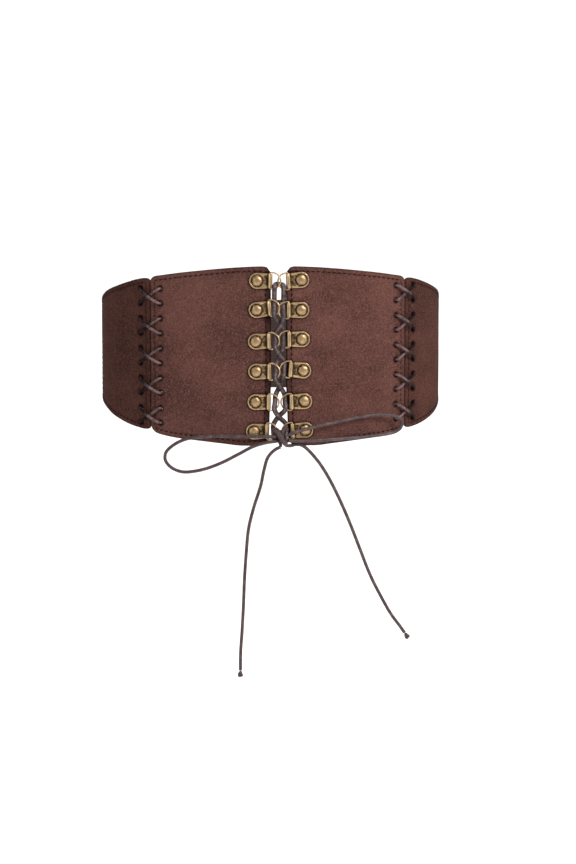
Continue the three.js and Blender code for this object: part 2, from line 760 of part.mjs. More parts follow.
// Lace and bow
addPiece('front_lace', frontLace(), cord)
addPiece('bow_knot', lump(vectors([KNOT_CENTRE])[0], KNOT_SIZE, 12), cord)
const freeCords = {
  bow_loop_left: [BOW_LOOP_LEFT, 26],
  bow_loop_right: [BOW_LOOP_RIGHT, 26],
  lace_tail_left: [LACE_TAIL_LEFT, 22],
  lace_tail_right: [LACE_TAIL_RIGHT, 22],
}
for (const [name, [route, steps]] of Object.entries(freeCords)) {
  addPiece(name, tube(smooth(vectors(route), steps), LACE_DIAMETER, LACE_SIDES), cord)
}
for (const [side, route] of [['left', LACE_TAIL_LEFT], ['right', LACE_TAIL_RIGHT]]) {
  const [before, end] = vectors(route.slice(-2))
  const ahead = end.clone().sub(before).normalize()
  const centre = end.clone().addScaledVector(ahead, TAIL_KNOT_SIZE[2] / 2 + CLEARANCE)
  addPiece(`tail_knot_${side}`, lump(centre, TAIL_KNOT_SIZE, 8), cord)
}

export default group
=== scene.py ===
import math

import bmesh
import bpy
import numpy as np
from bpy.props import FloatProperty, FloatVectorProperty, IntProperty, PointerProperty
from mathutils import Matrix, Vector


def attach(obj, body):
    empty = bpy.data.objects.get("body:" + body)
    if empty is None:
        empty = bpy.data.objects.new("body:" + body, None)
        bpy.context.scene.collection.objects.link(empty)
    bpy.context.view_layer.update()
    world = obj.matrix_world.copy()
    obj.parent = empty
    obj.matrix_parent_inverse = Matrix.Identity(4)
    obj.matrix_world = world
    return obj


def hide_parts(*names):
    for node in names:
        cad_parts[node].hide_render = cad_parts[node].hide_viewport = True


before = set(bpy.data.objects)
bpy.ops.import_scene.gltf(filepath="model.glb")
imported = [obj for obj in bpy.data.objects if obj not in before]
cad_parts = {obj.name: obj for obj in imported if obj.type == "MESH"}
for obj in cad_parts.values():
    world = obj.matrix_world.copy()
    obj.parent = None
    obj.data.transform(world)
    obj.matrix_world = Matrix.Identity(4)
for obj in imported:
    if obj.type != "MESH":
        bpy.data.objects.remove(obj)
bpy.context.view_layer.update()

bl_info = {
    "name": "Corset Belt",
    "version": (1, 0, 0),
    "blender": (4, 5, 0),
    "location": "View3D > Sidebar > Belt",
    "description": "Builds the suede panels, lacing, brass and bow of a corset belt",
    "category": "Add Mesh",
}

# Lengths in the tables and functions are millimetres, and meshes are in metres
MM = 0.001

# Waist curve that the outer faces of the panels follow
WAIST_HALF_WIDTH = 137.0
WAIST_HALF_DEPTH = 97.0
WAIST_POWER = 2.4
CURVE_STEPS = 1440

# Panels and band
BELT_HALF_HEIGHT = 70.0
TOP_GAP = 11.9
SEAMS = {"left": 103.4, "right": 106.2}
SEAM_GAP = 0.16
SIDE_END_ARC = 204.0
CLEARANCE = 0.3
BAND_HALF_HEIGHT = 37.5
BAND_WALL = 1.7
BAND_OVERLAP = 15.0
RIB_PITCH = 2.5

# Lace holes beside each seam
HOLES_PER_COLUMN = 10
HOLE_TO_SEAM = 9.2
HOLE_COLUMN_HEIGHT = 105.196
HOLE_COLUMN_RISES = {"left": -0.3, "right": 1.8}

# Ring plates, rivets and D-rings
PLATE_LENGTH = 10.2
PLATE_THICKNESS = 0.7
PLATE_RIM_RISE = 0.35
KNUCKLE_DIAMETER = 3.5
KNUCKLE_HEIGHT = 11.2
KNUCKLE_OUT = CLEARANCE + KNUCKLE_DIAMETER / 2
RIVET_HEAD_RISE = 1.9
RIVET_TAIL_DIAMETER = 5.2
RING_DEPTH = 8.2
RING_HEIGHT = 13.0
RING_SHOULDER = 1.2
TOP_BIGHT_DROP = 3.1

# Plait of a cord: its relief as a share of the cord's half thickness, and the length of a repeat
PLAIT_RELIEF = 0.05
PLAIT_PITCH = 2.6

# Corners closer than these become one
CORD_WELD = 0.002
SHEET_WELD = 0.001

# Faces that meet at more than this angle, in degrees, meet in a sharp edge
SMOOTH_ANGLE = 40.0

SIDES = {"left": -1, "right": 1}

# Edges of a front panel, as shares of half the belt's height.
# columns: share of the arc from the gap to the seam, top edge, bottom edge
FRONT_EDGES = np.array([
    (0, 0.925, 0.935),
    (0.012, 0.95, 0.955),
    (0.035, 0.988, 0.988),
    (0.07, 0.997, 1),
    (0.2, 0.991, 1),
    (0.38, 0.975, 0.976),
    (0.56, 0.952, 0.949),
    (0.74, 0.926, 0.924),
    (0.9, 0.897, 0.889),
    (0.955, 0.887, 0.866),
    (0.985, 0.868, 0.83),
    (1, 0.838, 0.789),
])

# Edges of a side panel, as shares of half the belt's height.
# columns: share of the arc from the seam to the back end, top edge, bottom edge
SIDE_EDGES = np.array([
    (0, 0.83, 0.8),
    (0.006, 0.846, 0.817),
    (0.022, 0.859, 0.829),
    (0.05, 0.863, 0.832),
    (0.13, 0.849, 0.816),
    (0.23, 0.818, 0.785),
    (0.33, 0.785, 0.746),
    (0.44, 0.75, 0.702),
    (0.56, 0.713, 0.648),
    (0.69, 0.669, 0.6),
    (0.84, 0.626, 0.57),
    (0.94, 0.602, 0.56),
    (0.985, 0.588, 0.546),
    (1, 0.565, 0.523),
])

# Half of the gap, as shares of half of TOP_GAP.
# columns: share of the height from the bottom, width
GAP_WIDTHS = np.array([(0, 1.28), (0.19, 1.14), (0.34, 0.98), (1, 1.0)])

# Ring plates from the top down. columns: height as a share of half the belt's height,
# arc from the front centre to the ring's bar, turn of the plate in its own plane,
# swing of the ring out of the plate's plane
PLATES = {
    "left": [
        (0.837, 6.6, 0, 13),
        (0.514, 7.0, 8, 22),
        (0.164, 7.6, 3, 11),
        (-0.169, 7.4, 0, 12),
        (-0.509, 7.9, 0, 13),
        (-0.839, 9.2, 2, 12),
    ],
    "right": [
        (0.847, 7.4, -5, -6),
        (0.513, 7.6, 0, -5),
        (0.189, 8.0, 0, -14),
        (-0.16, 9.0, 5, -6),
        (-0.503, 9.8, -2, -5),
        (-0.826, 10.6, -2, -5),
    ],
}

# Lace beside each pair of rings, from the top down. columns: arc from the front centre to
# the left strand, to the right strand, and to the crossing below the pair, then the side
# from which the upper strand comes
LACE_ROWS = [
    (3.8, 3.1, 0, "none"),
    (3.2, 3.6, 1.4, "right"),
    (1.5, 3.4, 0.9, "left"),
    (2.1, 3.7, 1.0, "left"),
    (2.4, 3.4, -0.1, "left"),
    (3.8, 4.0, 0, "none"),
]

# Ends of the lace between the last pair of rings and the bow knot. columns: sideways from
# the front centre, backwards from the front of the waist, upwards from the bottom edge
LACE_END_LEFT = [(-4.2, -4.8, 9.1), (-4.1, -6, 6.6), (-2.1, -6, 4.9)]
LACE_END_RIGHT = [(6.2, -3.4, 12.8), (5.8, -4.6, 13.4)]

# Free cord of the bow, points along each centreline, with the same columns
BOW_LOOP_LEFT = [
    (-2.4, -8.6, 8), (-13.5, -7.8, 7.9), (-22.2, -6.2, 7.9), (-34.3, -4.2, 8.1),
    (-46.5, -1.4, 8.1), (-62.1, 2, 7.1), (-73.1, 5, 5), (-82.1, 7.2, 0.3), (-87.7, 8.4, -5.4),
    (-88.3, 8.2, -10.9), (-84.3, 6.8, -16.5), (-75.5, 4.6, -20.2), (-62.2, 1.8, -19),
    (-46.7, -1.4, -13.7), (-31.2, -4.4, -5.7), (-20, -6.4, 0.3), (-10, -8, 3.3),
    (-2.4, -8.6, 4.4),
]
BOW_LOOP_RIGHT = [
    (7.6, -7.6, 9.4), (18, -7, 12.8), (31.6, -5.4, 16), (49.9, -1.6, 19.4), (66.1, 2.4, 22.3),
    (80, 6, 23.5), (89.4, 8.4, 22.6), (94.8, 9.6, 21.1), (98.0, 10.2, 17.2), (96.8, 10, 12.6),
    (92.2, 8.8, 9.6), (84.7, 7, 8), (73.1, 4, 6.8), (54.5, -0.6, 5.8), (31.6, -4.8, 4.7),
    (20.1, -6.6, 4.4), (7.3, -8, 4.7),
]
LACE_TAIL_LEFT = [
    (0.9, -7.6, -0.2), (-3.4, -7.4, -2.4), (-8.8, -7, -8.2), (-11.9, -6.4, -18.3),
    (-14.4, -6, -30.3), (-20, -5.2, -48.3), (-23.8, -4.6, -64.1), (-25.6, -4, -82.3),
    (-27.1, -3.6, -104.9), (-27.8, -3.2, -123.1), (-29, -2.8, -145.9), (-30.1, -2.6, -161.8),
    (-30.3, -2.5, -176.3),
]
LACE_TAIL_RIGHT = [
    (5.3, -5.8, 0.7), (9.6, -3.6, 0.4), (13.7, -2.3, 1.2), (19, -2, 0), (29.6, -2.6, -10.7),
    (38.5, -3.2, -24.2), (47.6, -3.6, -42.3), (55.5, -3.6, -60.5), (63.5, -3.2, -81),
    (71.6, -2.6, -101.6), (79.6, -2, -117.7), (88.8, -1.4, -133.9), (95.7, -1, -143.2),
    (99.3, -0.8, -148.4),
]

# Middle of the bow knot and its strands, with the same columns
KNOT_CENTRE = (1.9, -6.6, 7.8)
KNOT_CORE = (7.4, 4.4, 11.0)
KNOT_WRAP = [
    (-1.9, -7.4, 12.6), (-0.8, -9.8, 10.4), (1.2, -11.2, 7.6), (3.2, -10.4, 4.2),
    (4.4, -8.2, 2.4), (4.4, -5.6, 2.8), (2.6, -3.8, 5.8), (0.0, -3.8, 10.2), (-1.7, -5.0, 12.6),
]
KNOT_UPPER = [
    (-2.4, -8.6, 8), (-0.4, -7.4, 8.4), (1.6, -6.0, 8.4), (4.4, -7.0, 8.2), (7.6, -7.6, 9.4),
]
KNOT_LOWER = [
    (-2.4, -8.6, 4.4), (0.0, -6.8, 5.0), (2.6, -5.4, 5.2), (5.0, -7.0, 4.6), (7.3, -8, 4.7),
]
KNOT_LEFT_END = [(-2.1, -6, 4.9), (-0.4, -6.4, 4.2), (0.9, -7.0, 2.0), (0.9, -7.6, -0.2)]
KNOT_RIGHT_END = [
    (5.8, -4.6, 13.4), (5.4, -7.4, 11.0), (5.1, -8.4, 8.0), (5.3, -7.6, 4.0), (5.3, -5.8, 0.7),
]
KNOT_LEFT_ARM = [(-4.2, -5.4, 13.6), (-2.8, -7.6, 11.4), (-1.2, -8.2, 9.2), (0.8, -7.0, 7.6)]
KNOT_RIGHT_ARM = [(4.6, -5.2, 15.0), (3.6, -7.6, 13.0), (2.2, -8.8, 11.2), (1.2, -7.6, 9.0)]

# Camera of the stage, in metres, degrees and millimetres of lens
CAMERA_PLACE = (-0.1320, -1.9940, 0.1072)
CAMERA_TURN = (85, 0, -4.2)
CAMERA_LENS = 101.97
SENSOR_HEIGHT = 36

# Lights of the stage, in metres and watts. columns: name, place, aim, size, power
WORLD_STRENGTH = 0.46
LIGHTS = [
    ("key", (1.05, -1.45, 1.0), (0, 0, 0), 0.8, 40),
    ("fill", (-1.3, -1.5, 0.5), (0, 0, 0), 1.2, 7),
    ("top", (0.0, 0.2, 1.6), (0, 0, 0), 1.4, 16),
    ("backdrop left", (-1.6, 1.2, 2.2), (-0.6, 3.0, 0.6), 1.6, 27),
    ("backdrop right", (1.6, 1.2, 2.2), (0.6, 3.0, 0.6), 1.6, 27),
]

# Section of the backdrop, in metres. columns: backwards, upwards
BACKDROP_PROFILE = [(-4, -0.3), (1.6, -0.3), (2.6, 0.0), (3.0, 1.0), (3.0, 6.0)]
BACKDROP_WIDTH = 12


def srgb(red, green, blue):
    """Scene colour from screen values of 0 to 255"""
    return tuple(((c / 255 + 0.055) / 1.055) ** 2.4 for c in (red, green, blue))


# Sizes and colours that can be changed


def size_setting(name, about, default, low, high, precision=4):
    """A length in metres"""
    return FloatProperty(name=name, description=about, default=default, min=low, max=high,
                         precision=precision, unit="LENGTH")


def colour_setting(name, about, default):
    """A colour"""
    return FloatVectorProperty(name=name, description=about, default=default, size=3, min=0,
                               max=1, subtype="COLOR")


class BeltSizes(bpy.types.PropertyGroup):
    """Sizes of the belt's details"""
    panel_wall: size_setting(
        "Panel wall", "Thickness of a suede panel with its lining", 0.0024, 0.001, 0.003)
    cell: size_setting(
        "Panel cell", "Length of a face in the middle of a panel", 0.0012, 0.0006, 0.004)
    groove: size_setting(
        "Stitch groove", "How far the seam thread pulls the suede in", 0.00035, 0, 0.0008, 5)
    stitch_inset: size_setting(
        "Stitch inset", "From the top and bottom edges to the stitches", 0.0036, 0.002, 0.006)
    stitch_side_inset: size_setting(
        "Side stitch inset", "From the upright edges to the stitches", 0.0043, 0.002, 0.006)
    stitch_length: size_setting("Stitch length", "Length of one stitch", 0.0029, 0.001, 0.005)
    stitch_gap: size_setting(
        "Stitch gap", "Between one stitch and the next", 0.0013, 0.0002, 0.002)
    thread: size_setting("Thread", "Thickness of the sewing thread", 0.00115, 0.0003, 0.0014, 5)
    lace_hole: size_setting("Lace hole", "Diameter of a lace hole", 0.0038, 0.002, 0.005)
    lace: size_setting("Lace", "Diameter of the bow's cord", 0.0026, 0.001, 0.004)
    lace_width: size_setting(
        "Lace width", "Width of the front lace, flat in the rings", 0.0038, 0.001, 0.005)
    lace_thickness: size_setting(
        "Lace thickness", "Thickness of the front lace in the rings", 0.0022, 0.001, 0.004)
    side_cord: size_setting(
        "Side cord", "Diameter of the cord that laces a side seam", 0.0022, 0.001, 0.004)
    plate_height: size_setting("Plate height", "Height of a ring plate", 0.0122, 0.008, 0.016)
    plate_rim: size_setting(
        "Plate rim", "Width of the raised rim of a ring plate", 0.001, 0.0004, 0.002)
    rivet_head: size_setting(
        "Rivet head", "Diameter of a rivet's domed head", 0.0092, 0.005, 0.01)
    ring_wire: size_setting(
        "Ring wire", "Diameter of the wire of a D-ring", 0.0012, 0.0006, 0.002)
    cord_sides: IntProperty(
        name="Cord sides", description="Faces round a cord", default=16, min=8, max=32)


class BeltColours(bpy.types.PropertyGroup):
    """Colours of the belt's materials"""
    front_suede: colour_setting(
        "Front suede", "Middle tone of the front panels", srgb(75, 49, 43))
    # The side panels are the same suede as the front panels; their darker tone is painted shade
    side_suede: colour_setting("Side suede", "Middle tone of the side panels", srgb(63, 40, 34))
    thread: colour_setting("Thread", "Colour of the sewing thread", srgb(34, 10, 12))
    cord: colour_setting("Cord", "Colour of the laces and the bow", srgb(62, 45, 45))
    lining: colour_setting("Lining", "Colour of the cloth on the inside", srgb(205, 188, 168))
    elastic: colour_setting("Elastic", "Colour of the back band", srgb(48, 34, 31))
    brass: colour_setting("Brass", "Colour of the worn, bright brass", srgb(200, 171, 129))
    patina: colour_setting("Patina", "Colour of the brass where it is dull", srgb(152, 124, 92))


def length(name):
    """A size of the belt in millimetres"""
    return getattr(bpy.context.scene.belt_sizes, name) / MM


def colour(name):
    """A colour of the belt with full opacity"""
    return (*getattr(bpy.context.scene.belt_colours, name), 1.0)


# Shape of the waist


def rounded(value):
    """Sine or cosine of a turn round the waist, squared off to its shape"""
    return np.sign(value) * np.abs(value) ** (2 / WAIST_POWER)


TURN = np.linspace(0, 2 * math.pi, CURVE_STEPS + 1)
CURVE_X = WAIST_HALF_WIDTH * rounded(np.sin(TURN))
CURVE_Y = -WAIST_HALF_DEPTH * rounded(np.cos(TURN))
CURVE_ARC = np.concatenate([[0], np.cumsum(np.hypot(np.diff(CURVE_X), np.diff(CURVE_Y)))])
GIRTH = CURVE_ARC[-1]


def curve_point(arc):
    """Point of the waist curve, sideways and backwards, at an arc from the front centre"""
    along = np.mod(arc, GIRTH)
    return np.interp(along, CURVE_ARC, CURVE_X), np.interp(along, CURVE_ARC, CURVE_Y)


def normal_at(arc):
    """Outward direction of the waist curve, sideways and backwards"""
    span = 1.5
    x0, y0 = curve_point(np.asarray(arc) - span)
    x1, y1 = curve_point(np.asarray(arc) + span)
    reach = np.hypot(x1 - x0, y1 - y0)
    return (y1 - y0) / reach, (x0 - x1) / reach


def place(arc, z, out):
    """Points at an arc from the front centre, a height and a distance out of the panels"""
    x, y = curve_point(arc)
    normal_x, normal_y = normal_at(arc)
    return np.stack(np.broadcast_arrays(x + normal_x * out, y + normal_y * out, z), axis=-1)


def unroll(points):
    """Arc from the front centre, height and distance out of the panels, of points near the belt"""
    x, y, z = points[:, 0], points[:, 1], points[:, 2]
    across = np.sign(x) * np.abs(x / WAIST_HALF_WIDTH) ** (WAIST_POWER / 2)
    ahead = -np.sign(y) * np.abs(y / WAIST_HALF_DEPTH) ** (WAIST_POWER / 2)
    arc = np.interp(np.mod(np.arctan2(across, ahead), 2 * math.pi), TURN, CURVE_ARC)
    foot_x, foot_y = curve_point(arc)
    normal_x, normal_y = normal_at(arc)
    out = (x - foot_x) * normal_x + (y - foot_y) * normal_y
    return np.where(arc > GIRTH / 2, arc - GIRTH, arc), z, out


def along_table(table, column, share):
    """Smooth value of a column at shares of a table's first, without a swing past its rows"""
    x, y = table[:, 0], table[:, column]
    slope = np.diff(y) / np.diff(x)
    before, after = slope[:-1], slope[1:]
    same = before * after > 0
    inner = np.where(same, 2 * before * after / np.where(same, before + after, 1), 0)
    lean = np.concatenate([[slope[0]], inner, [slope[-1]]])
    share = np.clip(share, 0, 1)
    k = np.clip(np.searchsorted(x, share, side="right") - 1, 0, len(x) - 2)
    h = x[k + 1] - x[k]
    t = (share - x[k]) / h
    return (
        y[k] * (1 + 2 * t) * (1 - t) ** 2
        + lean[k] * h * t * (1 - t) ** 2
        + y[k + 1] * t * t * (3 - 2 * t)
        + lean[k + 1] * h * t * t * (t - 1)
    )


class PanelPlan:
    """Outline of one panel on the unrolled belt"""

    def __init__(self, side, kind):
        self.sign = SIDES[side]
        self.front = kind == "front"
        self.table = FRONT_EDGES if self.front else SIDE_EDGES
        seam = SEAMS[side]
        self.end = seam - SEAM_GAP / 2 if self.front else SIDE_END_ARC
        self.seam_start = seam + SEAM_GAP / 2
        hole_arc = seam - HOLE_TO_SEAM if self.front else seam + HOLE_TO_SEAM
        self.holes = [(hole_arc, hole_height(side, row)) for row in range(HOLES_PER_COLUMN)]
        plates = PLATES[side] if self.front else []
        self.rivets = [(row[1] + PLATE_LENGTH, row[0] * BELT_HALF_HEIGHT) for row in plates]

    def start(self, z):
        """Arc of the upright edge nearer the front centre"""
        if not self.front:
            return self.seam_start + 0 * z
        share = (z + BELT_HALF_HEIGHT) / (2 * BELT_HALF_HEIGHT)
        return TOP_GAP / 2 * np.interp(share, GAP_WIDTHS[:, 0], GAP_WIDTHS[:, 1])

    def width(self, z=0.0):
        """Arc between the upright edges"""
        return self.end - self.start(z)

    def share(self, arc, z):
        """Share of the way from one upright edge to the other"""
        return (arc - self.start(z)) / self.width(z)

    def arc(self, share, z):
        """Arc at a share of the way from one upright edge to the other"""
        return self.start(z) + share * self.width(z)

    def top(self, share):
        """Top edge, measured up from the middle of the belt"""
        return BELT_HALF_HEIGHT * along_table(self.table, 1, share)

    def bottom(self, share):
        """Bottom edge, measured down from the middle of the belt"""
        return BELT_HALF_HEIGHT * along_table(self.table, 2, share)

    def edge_distance(self, arc, z):
        """Distance to the nearest edge, with arc counted away from the front centre"""
        share = self.share(arc, z)
        step = 0.004
        run = 2 * step * self.width(z)
        gaps = [arc - self.start(z), self.end - arc]
        for edge, height in ((self.top, z), (self.bottom, -z)):
            slope = (edge(share + step) - edge(share - step)) / run
            gaps.append((edge(share) - height) / np.hypot(1, slope))
        return np.minimum.reduce(gaps)

    def seam_distance(self, arc):
        """Distance to the seam between front and side panel"""
        return self.end - arc if self.front else arc - self.seam_start

    def hole_distance(self, arc, z):
        """Distance to the rim of the nearest lace hole"""
        gaps = [np.hypot(arc - a, z - h) for a, h in self.holes]
        return np.maximum(np.minimum.reduce(gaps) - length("lace_hole") / 2, 0)

    def cross_distance(self, arc, z):
        """Distance to the middle of the nearest cross of the side lace, which is wide and low"""
        stretch = 1.5
        at = self.end if self.front else self.seam_start
        middles = [(a[1] + b[1]) / 2 for a, b in zip(self.holes[::2], self.holes[1::2])]
        return np.minimum.reduce([np.hypot((arc - at) / stretch, z - m) for m in middles])

    def plate_distance(self, arc, z):
        """Distance to the outline of the nearest ring plate"""
        gaps = []
        for rivet_arc, height in self.rivets:
            end = rivet_arc - PLATE_LENGTH - 1
            beside = np.maximum(arc - rivet_arc, 0) + np.maximum(end - arc, 0)
            gaps.append(np.hypot(beside, z - height))
        return np.maximum(np.minimum.reduce(gaps) - length("plate_height") / 2, 0)


def hole_height(side, row):
    """Height of a lace hole over the middle of the belt"""
    return HOLE_COLUMN_RISES[side] + HOLE_COLUMN_HEIGHT * (0.5 - row / (HOLES_PER_COLUMN - 1))


# Frames and routes


def plate_frame(side, row):
    """Foot of a plate's rivet on the panel, and the plate's axes towards the gap, up and out"""
    height, bar_arc, turn, _ = PLATES[side][row]
    arc = SIDES[side] * (bar_arc + PLATE_LENGTH)
    out = np.array([*normal_at(arc), 0.0])
    up = np.array([0.0, 0.0, 1.0])
    inward = -SIDES[side] * np.cross(up, out)
    angle = math.radians(turn)
    u = inward * math.cos(angle) + up * math.sin(angle)
    v = up * math.cos(angle) - inward * math.sin(angle)
    return place(arc, height * BELT_HALF_HEIGHT, 0.0), u, v, out


def bow_points(table):
    """Points of the bow, from the front of the waist and the belt's bottom edge"""
    return np.array(table) - (0, WAIST_HALF_DEPTH, BELT_HALF_HEIGHT)


def ring_place(side, row, depth, height, out):
    """A place beside a D-ring: depth from its bar, height along it, distance out of its plane"""
    foot, u, v, outward = plate_frame(side, row)
    swing = math.radians(PLATES[side][row][3])
    reach = depth * math.cos(swing) - out * math.sin(swing)
    lift = depth * math.sin(swing) + out * math.cos(swing)
    return foot + u * (PLATE_LENGTH + reach) + v * height + outward * (KNUCKLE_OUT + lift)


def bight(side, row):
    """Where the lace passes a ring: depth from the bar, and the height of the bow's wire there"""
    nearest = (KNUCKLE_DIAMETER + length("lace_width")) / 2 + CLEARANCE
    deepest = RING_DEPTH - (length("ring_wire") + length("lace_width")) / 2 - 2 * CLEARANCE
    strand_arc = LACE_ROWS[row][0 if side == "left" else 1]
    depth = min(deepest, max(nearest, PLATES[side][row][1] - strand_arc))
    along = (depth - RING_SHOULDER) / (RING_DEPTH - RING_SHOULDER)
    return depth, RING_HEIGHT / 2 * math.sqrt(1 - along ** 2)


def front_lace_route():
    """Lace through the rings from the top pair down, crossing where LACE_ROWS says"""
    thickness = length("lace_thickness")
    reach = (length("ring_wire") + thickness) / 2 + 2.4 * CLEARANCE
    crossing_rise = 0.75 * thickness
    arch_rise = 0.6
    strands = []
    for start in SIDES:
        side = start
        points = []
        for row, (_, _, cross_arc, over) in enumerate(LACE_ROWS):
            depth, height = bight(side, row)
            if row > 0:
                points.append(ring_place(side, row, depth, height, -reach))
            points.append(ring_place(side, row, depth, 0 if row > 0 else -TOP_BIGHT_DROP, 0))
            if row == len(LACE_ROWS) - 1:
                break
            points.append(ring_place(side, row, depth, -height, reach))
            if over == "none":
                continue
            other = "right" if side == "left" else "left"
            next_depth, next_height = bight(other, row + 1)
            middle = ring_place(side, row, depth, -height, 0)
            middle = (middle + ring_place(other, row + 1, next_depth, next_height, 0)) / 2
            middle[0] = cross_arc
            middle[1] += -crossing_rise if over == side else crossing_rise
            points.append(middle)
            side = other
        points.extend(bow_points(LACE_END_LEFT if side == "left" else LACE_END_RIGHT))
        strands.append(points)
    top = []
    for side in SIDES:
        depth = bight(side, 0)[0] + length("lace_width") / 4
        top.append(ring_place(side, 0, depth, arch_rise - TOP_BIGHT_DROP, -reach))
    arch = (top[0] + top[1]) / 2 + np.array([0, thickness / 2, 0])
    return np.array([*strands[0][::-1], top[0], arch, top[1], *strands[1]])


def side_lace_route(side):
    """Lace of one seam: crosses on the outside, upright runs on the inside, back to its start"""
    sign = SIDES[side]
    inner, outer = SEAMS[side] - HOLE_TO_SEAM, SEAMS[side] + HOLE_TO_SEAM
    rows = range(HOLES_PER_COLUMN)
    starts_inside = [(row >> 1) % 2 == row % 2 for row in rows]
    stops = [(inner if starts_inside[row] else outer, row) for row in rows]
    stops += [(outer if starts_inside[row] else inner, row) for row in reversed(rows)]
    diameter = length("side_cord")
    wall = length("panel_wall")
    lean = 0.9
    rise = diameter / 2 + CLEARANCE + 0.15
    upper_rise = rise + diameter + 2 * CLEARANCE - 0.2
    points = []
    for i, (arc, row) in enumerate(stops):
        z = hole_height(side, row)
        goes_out = i % 2 == 0
        after, before = stops[(i + 1) % len(stops)], stops[i - 1]
        leans = []
        for other_arc, other_row in (after, before) if goes_out else (before, after):
            run = np.array([other_arc - arc, hole_height(side, other_row) - z])
            leans.append(np.array([arc, z]) + lean * run / np.hypot(*run))
        front = place(sign * leans[0][0], leans[0][1], rise)
        back = place(sign * leans[1][0], leans[1][1], -wall - rise)
        through = place(sign * arc, z, -wall / 2)
        points += [back, through, front] if goes_out else [front, through, back]
        if not goes_out:
            continue
        arc_run, z_run = after[0] - arc, hole_height(side, after[1]) - z
        falls = sign * arc_run * (after[1] - row) > 0
        for share in (0.3, 0.7) if falls else (0.5,):
            spot = sign * (arc + share * arc_run), z + share * z_run
            points.append(place(*spot, upper_rise if falls else rise))
    return np.array(points)


def distances(route):
    """Distance of each point of a route from its start, along the route"""
    return np.concatenate([[0], np.cumsum(np.linalg.norm(np.diff(route, axis=0), axis=1))])


def smooth_route(points, step, closed=False):
    """Points a step apart on one smooth curve through the given ones"""
    points = np.asarray(points, float)
    if closed:
        points = np.concatenate([points[-1:], points, points[:2]])
    else:
        ends = [2 * points[0] - points[1]], [2 * points[-1] - points[-2]]
        points = np.concatenate([ends[0], points, ends[1]])
    fine = []
    share = np.linspace(0, 1, 24, endpoint=False)[:, None]
    for p0, p1, p2, p3 in zip(points, points[1:], points[2:], points[3:]):
        t0 = 0.0
        t1 = t0 + np.linalg.norm(p1 - p0) ** 0.5
        t2 = t1 + np.linalg.norm(p2 - p1) ** 0.5
        t3 = t2 + np.linalg.norm(p3 - p2) ** 0.5
        t = t1 + share * (t2 - t1)
        a = (t1 - t) / (t1 - t0) * p0 + (t - t0) / (t1 - t0) * p1
        b = (t2 - t) / (t2 - t1) * p1 + (t - t1) / (t2 - t1) * p2
        c = (t3 - t) / (t3 - t2) * p2 + (t - t2) / (t3 - t2) * p3
        d = (t2 - t) / (t2 - t0) * a + (t - t0) / (t2 - t0) * b
        e = (t3 - t) / (t3 - t1) * b + (t - t1) / (t3 - t1) * c
        fine.append((t2 - t) / (t2 - t1) * d + (t - t1) / (t2 - t1) * e)
    fine.append(points[-2:-1])
    fine = np.concatenate(fine)
    run = distances(fine)
    count = max(2, round(run[-1] / step))
    at = np.linspace(0, run[-1], count + 1)
    return np.stack([np.interp(at, run, fine[:, k]) for k in range(3)], axis=-1)


def route_frames(route, closed):
    """Unit vectors across a route, carried along it without twist"""
    before = np.roll(route, 1, axis=0)
    after = np.roll(route, -1, axis=0)
    if closed:
        before[0], after[-1] = route[-2], route[1]
    else:
        before[0], after[-1] = route[0], route[-1]
    ahead = after - before
    ahead /= np.linalg.norm(ahead, axis=1)[:, None]
    side = np.cross((0, 0, 1), ahead[0])
    if np.linalg.norm(side) < 0.2:
        side = np.cross((0, 1, 0), ahead[0])
    first = []
    for tangent in ahead:
        side = side - tangent * np.dot(side, tangent)
        side = side / np.linalg.norm(side)
        first.append(side)
    first = np.array(first)
    second = np.cross(ahead, first)
    if closed:
        spare = math.atan2(np.dot(first[-1], second[0]), np.dot(first[-1], first[0]))
        angle = -spare * np.linspace(0, 1, len(route))[:, None]
        turned = first * np.cos(angle) + second * np.sin(angle)
        second = second * np.cos(angle) - first * np.sin(angle)
        first = turned
    return first, second, ahead


# Meshes


def linked(name, data):
    """A new object in the scene"""
    item = bpy.data.objects.new(name, data)
    bpy.context.scene.collection.objects.link(item)
    return item


def mesh_of(work):
    """A mesh with what a bmesh holds, which is freed"""
    mesh = bpy.data.meshes.new("mesh")
    work.to_mesh(mesh)
    work.free()
    return mesh


def turn_outward(work):
    """Turns the faces of a closed bmesh outward"""
    bmesh.ops.recalc_face_normals(work, faces=work.faces)


def numbers(items, attribute, width):
    """One attribute of all vertices, faces or corners of a mesh, a row for each"""
    flat = np.zeros(len(items) * width, np.float32)
    items.foreach_get(attribute, flat)
    return flat.reshape(-1, width)


def mesh_points(mesh):
    """A mesh's vertices in millimetres"""
    return numbers(mesh.vertices, "co", 3).astype(float) / MM


def set_point_values(mesh, name, values):
    """Paints a value on each vertex, which a material reads by the name"""
    layer = mesh.attributes.new(name, "FLOAT", "POINT")
    layer.data.foreach_set("value", np.asarray(values, np.float32))


def moved_grid(columns, rows, shape, uv_size=(1.0, 1.0)):
    """A grid of quads moved to shape(i, j), points for columns and rows, in millimetres"""
    grid = bmesh.new()
    grid.loops.layers.uv.new("UVMap")
    bmesh.ops.create_grid(grid, x_segments=columns, y_segments=rows, size=0.5, calc_uvs=True)
    mesh = mesh_of(grid)
    co = numbers(mesh.vertices, "co", 3)
    low, high = co.min(axis=0), co.max(axis=0)
    i = np.rint((co[:, 0] - low[0]) / (high[0] - low[0]) * columns).astype(int)
    j = np.rint((co[:, 1] - low[1]) / (high[1] - low[1]) * rows).astype(int)
    points = np.asarray(shape(i, j)) * MM
    mesh.vertices.foreach_set("co", points.astype(np.float32).ravel())
    layer = mesh.uv_layers[0].data
    uv = numbers(layer, "uv", 2) * np.array(uv_size, np.float32)
    layer.foreach_set("uv", uv.ravel())
    mesh.update()
    return mesh


